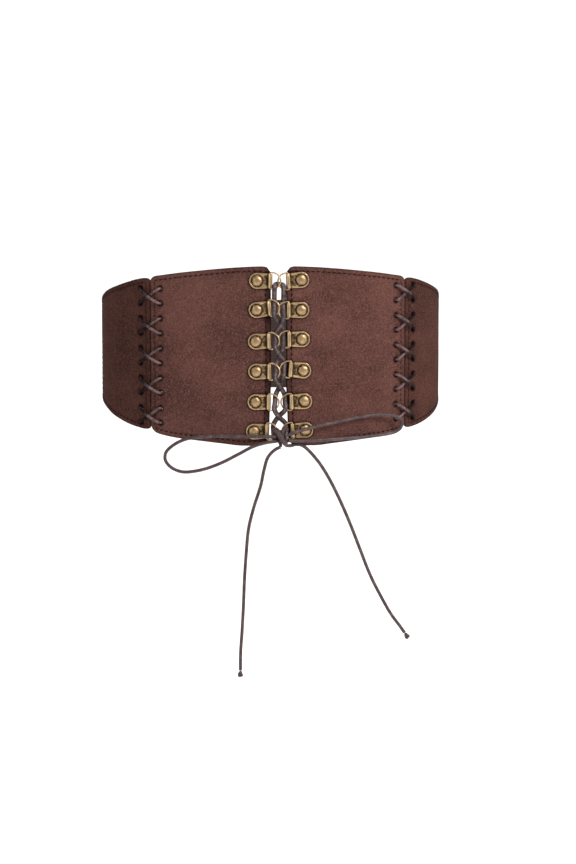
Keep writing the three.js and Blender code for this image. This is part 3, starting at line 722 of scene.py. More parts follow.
def joined(meshes, weld=0.0, cap=False, outward=True):
    """One mesh from several, welded, closed and turned outward, with the several removed"""
    whole = bmesh.new()
    for mesh in meshes:
        whole.from_mesh(mesh)
        bpy.data.meshes.remove(mesh)
    if weld:
        bmesh.ops.remove_doubles(whole, verts=whole.verts, dist=weld * MM)
    if cap:
        edges = [e for e in whole.edges if e.is_boundary]
        bmesh.ops.holes_fill(whole, edges=edges, sides=0)
    if outward:
        turn_outward(whole)
    return mesh_of(whole)


def smoothed(mesh, name, *materials):
    """The mesh with its name and materials, shaded smooth"""
    mesh.name = name
    for material in materials:
        mesh.materials.append(material)
    mesh.polygons.foreach_set("use_smooth", [True] * len(mesh.polygons))
    return mesh


def add_piece(name, mesh, slot, *finishes, node=None):
    """Puts a mesh in the scene, riding on the belt and standing for its CAD node"""
    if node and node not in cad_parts:
        raise RuntimeError(f"the packed belt has no node named {node}")
    smoothed(mesh, name, *(finish_of(finish) for finish in finishes))
    mesh.set_sharp_from_angle(angle=math.radians(SMOOTH_ANGLE))
    piece = linked(name, mesh)
    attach(piece, "root")
    if node:
        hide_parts(node)
    return piece


def cord_mesh(points, width, thickness=None, closed=False, step=0.5):
    """Plaited cord along points: strands that cross each other stand a little proud. A thickness
    makes it a flat cord that faces forward. Returns mesh and route"""
    route = smooth_route(points, step, closed)
    first, second, ahead = route_frames(route, closed)
    if thickness:
        first = np.cross(ahead, (0, -1, 0))
        first /= np.linalg.norm(first, axis=1)[:, None]
        second = np.cross(ahead, first)
    rows = len(route) - 1
    sides = bpy.context.scene.belt_sizes.cord_sides
    total = distances(route)[-1]
    repeats = round(total / PLAIT_PITCH)

    def shape(i, j):
        angle = 2 * math.pi * i / sides
        run = 2 * math.pi * repeats * j / rows
        relief = np.cos(4 * angle + run) * np.cos(4 * angle - run)
        swell = 1 + PLAIT_RELIEF * (relief - 0.2)
        broad = first[j] * (np.cos(angle) * width / 2 * swell)[:, None]
        narrow = second[j] * (np.sin(angle) * (thickness or width) / 2 * swell)[:, None]
        return route[j] + broad + narrow

    mesh = moved_grid(sides, rows, shape, (1.0, total / 10))
    return joined([mesh], weld=CORD_WELD, cap=not closed), route


def plate_matrix(side, row):
    """From a plate's own axes, in metres, to the belt"""
    foot, u, v, outward = plate_frame(side, row)
    return Matrix.Translation(Vector(foot * MM)) @ Matrix((u, v, outward)).transposed().to_4x4()


# Materials


class Finish:
    """A material with its shader, and short calls for the nodes that feed it"""

    def __init__(self, name, **sockets):
        self.material = bpy.data.materials.new(name)
        self.material.use_nodes = True
        self.tree = self.material.node_tree
        self.shader = self.tree.nodes["Principled BSDF"]
        for socket, value in sockets.items():
            self.shader.inputs[socket.replace("_", " ")].default_value = value

    def node(self, kind, inputs=(), **settings):
        node = self.tree.nodes.new("ShaderNode" + kind)
        for name, value in settings.items():
            setattr(node, name, value)
        for socket, value in dict(inputs).items():
            if isinstance(value, bpy.types.NodeSocket):
                self.tree.links.new(value, node.inputs[socket])
            else:
                node.inputs[socket].default_value = value
        return node

    def place(self):
        return self.node("TexCoord").outputs["Object"]

    def stretched(self, amount):
        """Place in the piece, with heights counted more often"""
        inputs = {"Vector": self.place(), "Scale": (1.0, 1.0, amount)}
        return self.node("Mapping", inputs).outputs[0]

    def noise(self, scale, detail=3.0, roughness=0.55, vector=None):
        vector = vector or self.place()
        inputs = {"Vector": vector, "Scale": scale, "Detail": detail, "Roughness": roughness}
        return self.node("TexNoise", inputs).outputs["Fac"]

    def math(self, operation, a, b=0.0, clamp=False):
        return self.node("Math", {0: a, 1: b}, operation=operation, use_clamp=clamp).outputs[0]

    def plus(self, a, b):
        return self.math("ADD", a, b)

    def times(self, a, b):
        return self.math("MULTIPLY", a, b)

    def wave(self, value, rate):
        """Sine that turns at a rate, in radians for each unit of the value"""
        return self.math("SINE", self.times(value, rate))

    def spread(self, value, low, high, to_low=0.0, to_high=1.0):
        """A value from low to high, brought to the range from to_low to to_high"""
        inputs = {"Value": value, "From Min": low, "From Max": high,
                  "To Min": to_low, "To Max": to_high}
        return self.node("MapRange", inputs).outputs["Result"]

    def mix(self, factor, a, b):
        return self.node("Mix", {0: factor, 6: a, 7: b}, data_type="RGBA").outputs[2]

    def over(self, base, tone, value, low, high, amount=1.0):
        """The base with a tone laid over it as a value goes from low to high"""
        return self.mix(self.spread(value, low, high, 0.0, amount), base, tone)

    def painted(self, name):
        return self.node("Attribute", attribute_name=name).outputs["Fac"]

    def feed(self, socket, value):
        self.tree.links.new(value, self.shader.inputs[socket])

    def bump(self, height, distance, strength):
        inputs = {"Height": height, "Distance": distance * MM, "Strength": strength}
        self.feed("Normal", self.node("Bump", inputs).outputs["Normal"])


def shade(tone, amount, blue=1.0):
    """The same colour, lighter or darker, with more or less blue"""
    red, green = tone[:2]
    return (*(min(1.0, c * amount) for c in (red, green, tone[2] * blue)), 1.0)


def suede_finish(name, tone):
    """Brushed nap: cloudy patches, finer mottling, darker along the edges, with painted shade in
    the stitch grooves and holes, under the side-lace crosses, round the plates and beside the gap
    """
    finish = Finish(name, Roughness=1.0, Specular_IOR_Level=0.03)
    patches = finish.noise(20.0, 5.0, 0.6, finish.stretched(1.5))
    mottle = finish.noise(420.0, 4.0, 0.7)
    nap = finish.noise(1000.0, 4.0, 0.75)
    base = finish.over(shade(tone, 0.68), shade(tone, 1.3), patches, 0.38, 0.62)
    base = finish.over(base, shade(tone, 1.6, 1.1), mottle, 0.5, 0.68, 0.6)
    base = finish.over(base, shade(tone, 0.62), mottle, 0.46, 0.34, 0.5)
    base = finish.over(base, shade(tone, 2.0, 1.12), nap, 0.51, 0.62, 0.8)
    base = finish.over(base, shade(tone, 0.5), nap, 0.47, 0.37, 0.7)
    # The edge paint darkens the suede along its edges and lays painted shade in grooves, holes,
    # crosses, round plates and beside the gap
    base = finish.mix(finish.painted("edge"), base, shade(tone, 0.16))
    finish.feed("Base Color", base)
    finish.bump(finish.plus(finish.times(mottle, 0.7), finish.times(nap, 0.5)), 0.6, 0.9)
    return finish.material


def lining_finish():
    """Plain woven cloth behind the suede"""
    tone = colour("lining")
    finish = Finish("lining cloth", Roughness=0.9, Specular_IOR_Level=0.15, Sheen_Weight=0.2)
    point = finish.node("SeparateXYZ", {0: finish.place()})
    warp = finish.wave(point.outputs["Z"], 9000.0)
    weft = finish.wave(finish.plus(point.outputs["X"], point.outputs["Y"]), 9000.0)
    weave = finish.spread(finish.times(warp, weft), -1.0, 1.0)
    slub = finish.noise(120.0, 4.0, 0.6)
    base = finish.mix(weave, shade(tone, 0.86), shade(tone, 1.04))
    finish.feed("Base Color", finish.over(base, shade(tone, 0.78), slub, 0.3, 0.7, 0.35))
    finish.bump(weave, 0.12, 0.6)
    return finish.material


def elastic_finish():
    """Ribbed elastic with fine crossing threads"""
    tone = colour("elastic")
    finish = Finish("ribbed elastic", Roughness=0.82, Specular_IOR_Level=0.25, Sheen_Weight=0.15)
    point = finish.node("SeparateXYZ", {0: finish.place()})
    ribs = finish.wave(point.outputs["Z"], 2 * math.pi / (RIB_PITCH * MM))
    threads = finish.wave(finish.plus(point.outputs["X"], point.outputs["Y"]), 7000.0)
    weave = finish.spread(threads, -1.0, 1.0)
    base = finish.over(shade(tone, 0.6), shade(tone, 1.25), ribs, -1.0, 1.0)
    base = finish.mix(finish.times(weave, 0.35), base, shade(tone, 1.6))
    base = finish.over(base, shade(tone, 0.7), finish.noise(90.0), 0.35, 0.7, 0.25)
    finish.feed("Base Color", base)
    finish.bump(finish.plus(weave, finish.noise(3000.0)), 0.1, 0.5)
    return finish.material


def cord_finish(name, tone, wear_and_light="round"):
    """Waxed plaited cord: crossing strands along it, painted shade between them and painted light
    on their crowns, and random patches of worn wax whose lightest parts are painted highlights
    """
    finish = Finish(name, Roughness=0.5, Specular_IOR_Level=0.35)
    uv = finish.node("SeparateXYZ", {0: finish.node("UVMap", uv_map="UVMap").outputs["UV"]})
    around = finish.times(uv.outputs["X"], 8 * math.pi)
    along = finish.times(uv.outputs["Y"], 2 * math.pi / (PLAIT_PITCH / 10))
    one = finish.math("COSINE", finish.plus(around, along))
    other = finish.math("COSINE", finish.math("SUBTRACT", around, along))
    strands = finish.spread(finish.times(one, other), -1.0, 1.0)
    # Random patches of worn wax; their lightest parts are painted highlights, and they also set
    # the roughness
    wax_and_light = finish.noise(300.0, 4.0, 0.65)
    # A flat lace gets painted shade along its edges and painted light on its broad faces
    if wear_and_light == "flat":
        face = finish.math("ABSOLUTE", finish.wave(uv.outputs["X"], 2 * math.pi))
        wax_and_light = finish.plus(wax_and_light, finish.spread(face, 0.5, 1.0, -0.22, 0.07))
    # A side lace gets painted light where it lies over the front panel and painted shade where it
    # lies over the side panel; the specular level follows the same paint
    elif wear_and_light == "painted":
        paint = finish.painted("wear_and_light")
        wax_and_light = finish.plus(wax_and_light, finish.spread(paint, -0.4, 0.8, -0.2, 0.12))
        finish.feed("Specular IOR Level", finish.spread(paint, -0.2, 0.6, 0.05, 0.4))
    strong = 0.35 if wear_and_light == "round" else 0.9
    # Colour follows the plait: painted shade between the strands, painted light on their crowns
    base = finish.mix(strands, shade(tone, 0.45), shade(tone, 1.35))
    base = finish.over(base, shade(tone, 3.4), wax_and_light, 0.5, 0.66, strong)
    base = finish.over(base, shade(tone, 0.25), wax_and_light, 0.48, 0.34, strong)
    finish.feed("Base Color", base)
    finish.feed("Roughness", finish.spread(wax_and_light, 0.3, 0.7, 0.62, 0.34))
    finish.bump(finish.plus(strands, finish.times(finish.noise(2600.0), 0.5)), 0.2, 0.9)
    return finish.material


def thread_finish():
    """Twisted sewing thread, faded towards the suede beside the seams"""
    tone = colour("thread")
    finish = Finish("sewing thread", Roughness=0.8, Specular_IOR_Level=0.1)
    point = finish.node("SeparateXYZ", {0: finish.place()})
    run = finish.plus(point.outputs["X"], point.outputs["Z"])
    twist = finish.spread(finish.wave(run, 12000.0), -1.0, 1.0)
    base = finish.mix(twist, shade(tone, 0.6), shade(tone, 1.3))
    base = finish.over(base, shade(tone, 0.5), finish.noise(300.0), 0.35, 0.65, 0.4)
    faded = finish.times(finish.painted("faded"), 0.65)
    finish.feed("Base Color", finish.mix(faded, base, shade(colour("side_suede"), 0.9)))
    finish.bump(twist, 0.08, 0.7)
    return finish.material


def brass_finish():
    """Antique brass: bright where it is worn and where a highlight is painted, dull in the
    hollows, near black where shade is painted, with fine scratches
    """
    finish = Finish("antique brass", Metallic=1.0, Roughness=0.4)
    patina = colour("patina")
    clouds = finish.noise(520.0, 4.0, 0.65)
    specks = finish.noise(2600.0, 3.0, 0.7)
    dull = finish.spread(clouds, 0.4, 0.66, 0.0, 0.34)
    # The paint holds wear and painted light: the knuckle's outward face partly a painted
    # highlight, painted shade in its groove and beside it, a painted shadow ring round each rivet
    bright = finish.math("SUBTRACT", finish.painted("wear_and_light"), dull, clamp=True)
    base = finish.over(shade(patina, 0.1), patina, bright, 0.0, 0.3)
    base = finish.over(base, colour("brass"), bright, 0.35, 1.0)
    base = finish.over(base, shade(patina, 0.35), specks, 0.52, 0.66, 0.55)
    finish.feed("Base Color", base)
    finish.feed("Roughness", finish.spread(bright, 0.0, 0.6, 0.6, 0.29))
    scratches = finish.noise(1800.0, 3.0, 0.7, finish.stretched(9.0))
    finish.bump(finish.plus(finish.times(clouds, 0.8), finish.times(scratches, 0.5)), 0.12, 0.5)
    return finish.material


FINISHES = {}


def finish_of(name):
    """Each finish is made once and shared"""
    cord = colour("cord")
    makers = {
        "front_suede": lambda: suede_finish("front suede", colour("front_suede")),
        "side_suede": lambda: suede_finish("side suede", colour("side_suede")),
        "lining": lining_finish,
        "elastic": elastic_finish,
        "cord": lambda: cord_finish("waxed cord", cord),
        # The laces are the same cord as the bow; their darker tone is painted shade
        "front_lace": lambda: cord_finish("front lace", shade(cord, 0.75), "flat"),
        "side_lace": lambda: cord_finish("side lace", shade(cord, 0.75), "painted"),
        "thread": thread_finish,
        "brass": brass_finish,
    }
    if name not in FINISHES:
        FINISHES[name] = makers[name]()
    return FINISHES[name]


# Pieces

# Distances from an edge of a panel at which its first columns and rows lie
RIM_STATIONS = np.array([0, 0.08, 0.28, 0.6, 1.05, 1.6, 2.2, 2.8, 3.3, 3.8, 4.3, 4.9, 5.7])

# The groove of the stitches lies this much further in than they do
GROOVE_SHIFT = 0.2
# Stitches stop this far from a rivet's middle, and stand this far out of their groove
STITCH_TO_RIVET = 6.4
STITCH_RISE = 0.08

# Bars that cut the lace holes: how much less their radius is behind, how much more in front,
# and their length
BAR_NARROWER = 1.6
BAR_WIDER = 1.0
BAR_LENGTH = 6

# The lining starts this far from a panel's edge
LINING_INSET = 1.6

# Bevels of a plate and of its knuckle, and the sloping step inside the rim
PLATE_BEVEL = 0.12
KNUCKLE_BEVEL = 0.3
RIM_STEP = 0.25

# Groove along the knuckle: angle from the outermost line, half width in radians, depth as a share
GROOVE_ANGLE = 0.12
GROOVE_WIDTH = 0.2
GROOVE_DEPTH = 0.2

# Section of a rivet's dome. columns: share of the radius, share of the rise
DOME = [
    (0, 1.0), (0.2, 0.99), (0.4, 0.95), (0.58, 0.86), (0.74, 0.70), (0.86, 0.51),
    (0.94, 0.32), (0.985, 0.16), (1.0, 0.06),
]
RIVET_STEM_RADIUS = 1.1

# Knot in a lace's end: half width and length of its figure, depth of its crossings,
# diameter of its cord, and how far its middle lies past the end
TAIL_KNOT_WIDTH = 1.25
TAIL_KNOT_LENGTH = 1.9
TAIL_KNOT_DEPTH = 1.0
TAIL_KNOT_CORD = 2.0
TAIL_KNOT_DROP = 3.0

# The wrap of the bow knot is thicker than the cord by this factor
KNOT_WRAP_FACTOR = 1.45


def bell(distance, width):
    """1 at no distance, about a third at the width, and soon nothing"""
    return np.exp(-((distance / width) ** 2))


def stations(typical, cell):
    """Count of the cells across a panel, and a function that spaces them, closer near the edges"""
    rim = RIM_STATIONS
    last = len(rim) - 1
    middle = np.linspace(0, 1, max(2, round((typical - 2 * rim[-1]) / cell)) + 1)
    count = 2 * last + len(middle) - 1

    def spaced(index, total):
        inner = np.clip(index - last, 0, len(middle) - 1)
        low = rim[np.clip(index, 0, last)]
        high = total - rim[np.clip(count - index, 0, last)]
        between = rim[-1] + middle[inner] * (total - 2 * rim[-1])
        return np.where(index <= last, low, np.where(index >= count - last, high, between))

    return count, spaced


def rim_free(edge, i, j, columns, rows):
    """Distances to the edge, with none less than 0, and 0 for the outermost columns and rows"""
    outermost = (i == 0) | (i == columns) | (j == 0) | (j == rows)
    return np.where(outermost, 0, np.maximum(edge, 0))


def rounding(edge, wall):
    """Share of a sheet's half thickness that is left near its rounded edge"""
    return np.sqrt(1 - (1 - np.clip(edge / (wall / 2), 0, 1)) ** 2)


def sheet_mesh(columns, rows, shape, lined):
    """Both faces of a sheet, from shape(1) outside and shape(-1) inside, joined at the edges"""
    outer, inner = (moved_grid(columns, rows, shape(face)) for face in (1, -1))
    inner.polygons.foreach_set("material_index", [int(lined)] * len(inner.polygons))
    inner.flip_normals()
    return joined([outer, inner], weld=SHEET_WELD)


def groove_distance(edge):
    """Distance to the middle of the stitches' groove, from the distance to the edge"""
    return edge - length("stitch_inset") - GROOVE_SHIFT


def panel_relief(plan, arc, z, edge):
    """Suede over its flat face: rolled edge, stitch groove, dimples at the holes, soft waves"""
    relief = 0.1 * bell(edge - 1.8, 0.8) - length("groove") * bell(groove_distance(edge), 0.6)
    relief -= 0.3 * bell(plan.hole_distance(arc, z), 1.0)
    waves = 0.07 * np.sin(arc / 15 + 1.3) * np.sin(z / 19 + 0.7)
    waves += 0.05 * np.sin(arc / 6.3 + z / 8.1)
    return relief + waves * np.clip((edge - 4) / 6, 0, 1)


def panel_mesh(plan):
    """Both faces of a panel, rounded over into each other at the edges"""
    wall = length("panel_wall")
    across = plan.width()
    columns, spaced_columns = stations(across, length("cell"))
    rows, spaced_rows = stations(2 * BELT_HALF_HEIGHT * 0.9, length("cell"))

    def shape(face):
        def points(i, j):
            share = spaced_columns(i, across) / across
            top, bottom = plan.top(share), plan.bottom(share)
            z = spaced_rows(j, top + bottom) - bottom
            arc = plan.arc(share, z)
            edge = rim_free(plan.edge_distance(arc, z), i, j, columns, rows)
            out = -wall / 2 + face * wall / 2 * rounding(edge, wall)
            if face > 0:
                out += panel_relief(plan, arc, z, edge) * np.clip(edge / 1.2, 0, 1)
            return place(plan.sign * arc, z, out)
        return points

    return sheet_mesh(columns, rows, shape, lined=True)


def band_mesh(start, total):
    """Both faces of the back band, of a total width from its starting arc, with its ribs"""
    columns, rows = 150, 150
    rib_height = 0.12
    middle = -length("panel_wall") - CLEARANCE - BAND_WALL / 2

    def shape(face):
        def points(i, j):
            arc = start + total * i / columns
            z = BAND_HALF_HEIGHT * (2 * j / rows - 1)
            ends = np.minimum(arc - start, start + total - arc)
            edge = np.minimum(ends, BAND_HALF_HEIGHT - np.abs(z))
            edge = rim_free(edge, i, j, columns, rows)
            ribs = rib_height * np.cos(2 * math.pi * z / RIB_PITCH) * np.clip(edge / 1.5, 0, 1)
            half = BAND_WALL / 2 * rounding(edge, BAND_WALL)
            return place(arc, z, middle + face * (half + ribs - rib_height))
        return points

    return sheet_mesh(columns, rows, shape, lined=False)


def hole_cutters(plan):
    """Round bars through a panel's holes, narrower behind, where the lining holds the cord"""
    radius = length("lace_hole") / 2
    bars = bmesh.new()
    for arc, z in plan.holes:
        at = plan.sign * arc
        normal = Vector((*normal_at(at), 0.0))
        turn = normal.to_track_quat("Z", "Y").to_matrix().to_4x4()
        middle = Matrix.Translation(Vector(place(at, z, -length("panel_wall") / 2)) * MM)
        bmesh.ops.create_cone(
            bars, cap_ends=True, segments=18, radius1=(radius - BAR_NARROWER) * MM,
            radius2=(radius + BAR_WIDER) * MM, depth=BAR_LENGTH * MM, matrix=middle @ turn)
    return mesh_of(bars)


def with_holes(mesh, cutters):
    """The mesh with the bars taken out of it"""
    body, tool = linked("body", mesh), linked("tool", cutters)
    cut = body.modifiers.new("holes", "BOOLEAN")
    cut.operation = "DIFFERENCE"
    cut.solver = "EXACT"
    cut.object = tool
    bpy.context.view_layer.update()
    depsgraph = bpy.context.evaluated_depsgraph_get()
    result = bpy.data.meshes.new_from_object(body.evaluated_get(depsgraph))
    for part in (body, tool):
        bpy.data.objects.remove(part)
    bpy.data.meshes.remove(mesh)
    bpy.data.meshes.remove(cutters)
    return result


def finish_panel(mesh, plan):
    """Paints the suede darker along its edges and paints shade in its stitch grooves and holes,
    under the side-lace crosses, round the plates and beside the gap, and keeps the lining off the
    rounded edge
    """
    arc, z, _ = unroll(mesh_points(mesh))
    arc = plan.sign * arc
    edge = np.maximum(plan.edge_distance(arc, z), 0)
    seam = np.clip((3.0 - plan.seam_distance(arc)) / 1.5, 0, 1)
    dark = (0.6 - 0.3 * seam) * bell(edge, 0.9)
    # Painted shade in the stitch groove, in the holes and under the side-lace crosses
    dark += 0.2 * (1 - seam) * bell(groove_distance(edge), 0.8)
    dark += 0.95 * bell(plan.hole_distance(arc, z), 0.8)
    dark += 0.45 * bell(plan.cross_distance(arc, z), 3.8)
    # Painted shadow round the ring plates, and painted shade beside the gap, heavier on the left
    # panel
    if plan.front:
        dark += 0.75 * bell(plan.plate_distance(arc, z), 1.1)
        beside_gap = np.clip((6.0 - arc + plan.start(z)) / 3.5, 0, 1)
        dark += (0.5 if plan.sign < 0 else 0.25) * beside_gap
    set_point_values(mesh, "edge", np.clip(dark, 0, 0.95))
    centres = numbers(mesh.polygons, "center", 3).astype(float) / MM
    face_arc, face_z, _ = unroll(centres)
    face_edge = plan.edge_distance(plan.sign * face_arc, face_z)
    index = np.zeros(len(mesh.polygons), np.int32)
    mesh.polygons.foreach_get("material_index", index)
    index[(index > 0) & (face_edge < LINING_INSET)] = 0
    mesh.polygons.foreach_set("material_index", index)


def outline_area(plan):
    """Flat area of a panel's cut, in square metres"""
    share = np.linspace(0, 1, 200)
    heights = plan.top(share) + plan.bottom(share)
    return float(heights.mean() * plan.width() * MM * MM)


def stitch_runs(plan):
    """Lines of stitches on a panel, as dense points of arc and height"""
    count = 300
    level = 60.0
    inset, side_inset = length("stitch_inset"), length("stitch_side_inset")
    low = plan.start(-level) + side_inset
    high = plan.end - side_inset
    arcs = np.linspace(low + 0.6, high, count)
    top = plan.top(plan.share(arcs, level)) - inset
    bottom = -plan.bottom(plan.share(arcs, -level)) + inset
    inner_z = np.linspace(bottom[0] + 2.5, top[0] - 2.5, count)
    outer_z = np.linspace(bottom[-1] + 2.0, top[-1] - 2.0, count)
    runs = (
        (arcs, top), (arcs, bottom),
        (plan.start(inner_z) + side_inset, inner_z), (np.full(count, high), outer_z),
    )
    return [np.stack(run, axis=1) for run in runs]


def stitch_mesh(plan):
    """Short rounded stitches sunk in their grooves"""
    stitch, thread = length("stitch_length"), length("thread")
    pitch = stitch + length("stitch_gap")
    size = Matrix.Diagonal((stitch * MM, thread * MM, thread * 0.8 * MM, 1))
    threads = bmesh.new()
    for run in stitch_runs(plan):
        gone = distances(run)
        for middle in np.arange(pitch / 2, gone[-1], pitch):
            (arc, z), ahead = (
                [np.interp(middle + s, gone, run[:, k]) for k in (0, 1)] for s in (0, 0.5)
            )
            to_rivets = [math.hypot(arc - a, z - h) for a, h in plan.rivets]
            if min(to_rivets, default=STITCH_TO_RIVET) < STITCH_TO_RIVET:
                continue
            here = np.array([arc]), np.array([z])
            rise = panel_relief(plan, *here, plan.edge_distance(*here))[0] + STITCH_RISE
            spot = Vector(place(plan.sign * arc, z, rise))
            along = (Vector(place(plan.sign * ahead[0], ahead[1], rise)) - spot).normalized()
            normal = Vector((*normal_at(plan.sign * arc), 0.0))
            axes = Matrix((along, normal.cross(along), normal)).transposed()
            bmesh.ops.create_uvsphere(
                threads, u_segments=6, v_segments=5, radius=0.5,
                matrix=Matrix.Translation(spot * MM) @ axes.to_4x4() @ size)
    turn_outward(threads)
    return mesh_of(threads)


def bevel(work, edges, offset, segments):
    """Rounds some edges of a bmesh"""
    bmesh.ops.bevel(work, geom=edges, offset=offset * MM, segments=segments, profile=0.5,
                    affect="EDGES", material=-1)


def leaf_mesh():
    """Flat leaf of a plate: round outer end, straight end at the knuckle, raised rim"""
    radius = length("plate_height") / 2 * MM
    low, top = CLEARANCE * MM, (CLEARANCE + PLATE_THICKNESS + PLATE_RIM_RISE) * MM
    leaf = bmesh.new()
    bmesh.ops.create_circle(leaf, cap_ends=True, segments=48, radius=radius,
                            matrix=Matrix.Translation((0, 0, low)))
    for vert in leaf.verts:
        if vert.co.x > 1e-6:
            # The half circle towards the knuckle is pulled out to straight sides and end
            angle = math.atan2(abs(vert.co.y), vert.co.x)
            side_share = min(1.0, (math.pi / 2 - angle) / (math.pi / 4))
            end_share = max(0.0, 1 - angle / (math.pi / 4))
            half = radius + (KNUCKLE_HEIGHT / 2 * MM - radius) * side_share
            vert.co.y = math.copysign(half * (1 - end_share), vert.co.y)
            vert.co.x = PLATE_LENGTH * MM * side_share
    for_rim = bmesh.ops.extrude_face_region(leaf, geom=leaf.faces[:])
    lifted = [v for v in for_rim["geom"] if isinstance(v, bmesh.types.BMVert)]
    bmesh.ops.translate(leaf, verts=lifted, vec=(0, 0, top - low))
    roof = [f for f in leaf.faces if all(v in lifted for v in f.verts)]
    bmesh.ops.inset_region(leaf, faces=roof, thickness=length("plate_rim") * MM, depth=0)
    field = [f for f in roof if f.is_valid]
    bmesh.ops.inset_region(leaf, faces=field, thickness=RIM_STEP * MM,
                           depth=-PLATE_RIM_RISE * MM)
    turn_outward(leaf)
    edges = [e for e in leaf.edges if len(e.link_faces) == 2 and e.calc_face_angle(0) > 0.5]
    bevel(leaf, edges, PLATE_BEVEL, 2)
    return mesh_of(leaf)


def knuckle_mesh():
    """Roll at the end of a plate, with a groove along it"""
    axis = Vector((PLATE_LENGTH * MM, 0, KNUCKLE_OUT * MM))
    knuckle = bmesh.new()
    bmesh.ops.create_cone(
        knuckle, cap_ends=True, segments=40, radius1=KNUCKLE_DIAMETER / 2 * MM,
        radius2=KNUCKLE_DIAMETER / 2 * MM, depth=KNUCKLE_HEIGHT * MM,
        matrix=Matrix.Translation(axis) @ Matrix.Rotation(math.pi / 2, 4, "X"))
    bevel(knuckle, [e for e in knuckle.edges if e.calc_face_angle(0) > 1.2], KNUCKLE_BEVEL, 3)
    for vert in knuckle.verts:
        offset = Vector((vert.co.x - axis.x, 0, vert.co.z - axis.z))
        angle = math.atan2(offset.x, offset.z)
        vert.co -= offset * float(GROOVE_DEPTH * bell(angle - GROOVE_ANGLE, GROOVE_WIDTH))
    return mesh_of(knuckle)


def plate_mesh(side, row):
    """Stamped leaf with its end rolled into a knuckle, painted where it is worn bright, partly a
    painted highlight along the knuckle, with painted shade in its groove and on the leaf beside it
    """
    mesh = joined([leaf_mesh(), knuckle_mesh()], outward=False)
    points = mesh_points(mesh)
    x, out = points[:, 0] - PLATE_LENGTH, points[:, 2] - KNUCKLE_OUT
    radius = KNUCKLE_DIAMETER / 2
    on_knuckle = (x > -radius - 0.05) & (np.hypot(x, out) < radius + 0.1)
    angle = np.arctan2(x, out)
    # Worn bright along the knuckle's outward face, partly a painted highlight fading round its
    # sides, with painted shade in its groove
    barrel = np.clip(2.1 - 1.3 * np.abs(angle), 0, 1.3)
    barrel *= 1 - 0.85 * bell(angle - GROOVE_ANGLE, GROOVE_WIDTH)
    high = points[:, 2] > CLEARANCE + PLATE_THICKNESS + 0.2
    # Painted shade on the leaf beside the knuckle
    near = 0.08 + 0.92 * np.clip((-x - radius) / 1.6, 0, 1)
    wear_and_light = np.where(on_knuckle, barrel, np.where(high, 0.85, 0.8) * near)
    set_point_values(mesh, "wear_and_light", wear_and_light)
    mesh.transform(plate_matrix(side, row))
    return mesh


def turned_mesh(profile):
    """A profile of radius and height spun round its axis, in millimetres"""
    lathe = bmesh.new()
    spots = [lathe.verts.new((r * MM, 0, h * MM)) for r, h in profile]
    edges = [lathe.edges.new(pair) for pair in zip(spots, spots[1:])]
    bmesh.ops.spin(lathe, geom=spots + edges, cent=(0, 0, 0), axis=(0, 0, 1), angle=2 * math.pi,
                   steps=40, use_merge=True, use_duplicate=False)
    bmesh.ops.remove_doubles(lathe, verts=lathe.verts, dist=1e-7)
    turn_outward(lathe)
    return mesh_of(lathe)


def rivet_mesh(side, row):
    """Domed head with a turned-down rim, stem and flat tail"""
    seat = CLEARANCE * 2 + PLATE_THICKNESS
    head = length("rivet_head") / 2
    tail = RIVET_TAIL_DIAMETER / 2
    tail_top = -length("panel_wall") - CLEARANCE - 0.1
    dome = [(head * share, seat + RIVET_HEAD_RISE * rise) for share, rise in DOME]
    rim = [(head + 0.1, seat + 0.06), (head + 0.45, seat + 0.04), (head + 0.45, seat - 0.1)]
    stem = [(RIVET_STEM_RADIUS, seat - 0.1), (RIVET_STEM_RADIUS, tail_top)]
    foot = [(tail, tail_top), (tail, tail_top - 0.5), (tail - 0.2, tail_top - 0.6),
            (0, tail_top - 0.6)]
    mesh = turned_mesh(dome + rim + stem + foot)
    points = mesh_points(mesh)
    reach = np.hypot(points[:, 0], points[:, 1]) / head
    # The dome is brightest at its crown and darker towards its edge; the turned-down rim below it
    # is painted darkest, a painted shadow ring round the head
    on_dome = (points[:, 2] > seat + 0.07) & (reach < 0.99)
    wear_and_light = 0.7 - 0.55 * np.clip((reach - 0.5) / 0.44, 0, 1)
    set_point_values(mesh, "wear_and_light", np.where(on_dome, wear_and_light, 0))
    mesh.transform(plate_matrix(side, row))
    return mesh


def ring_mesh(side, row):
    """D of round wire, its bar in the plate's knuckle"""
    shoulder = RING_HEIGHT / 2
    bow = RING_DEPTH - RING_SHOULDER
    spots = [(0, s * shoulder) for s in (-0.93, -0.5, 0, 0.5, 0.93)]
    spots += [(RING_SHOULDER + math.cos(a) * bow, math.sin(a) * shoulder)
              for a in np.linspace(math.pi / 2, -math.pi / 2, 15)]
    points = [ring_place(side, row, depth, height, 0) for depth, height in spots]
    route = smooth_route(points, 0.55, closed=True)
    first, second, _ = route_frames(route, True)
    radius = length("ring_wire") / 2
    sides = 12

    def shape(i, j):
        angle = (2 * math.pi * i / sides)[:, None]
        return route[j] + (first[j] * np.cos(angle) + second[j] * np.sin(angle)) * radius

    mesh = joined([moved_grid(sides, len(route) - 1, shape)], weld=CORD_WELD)
    set_point_values(mesh, "wear_and_light", np.full(len(mesh.vertices), 0.8))
    return mesh


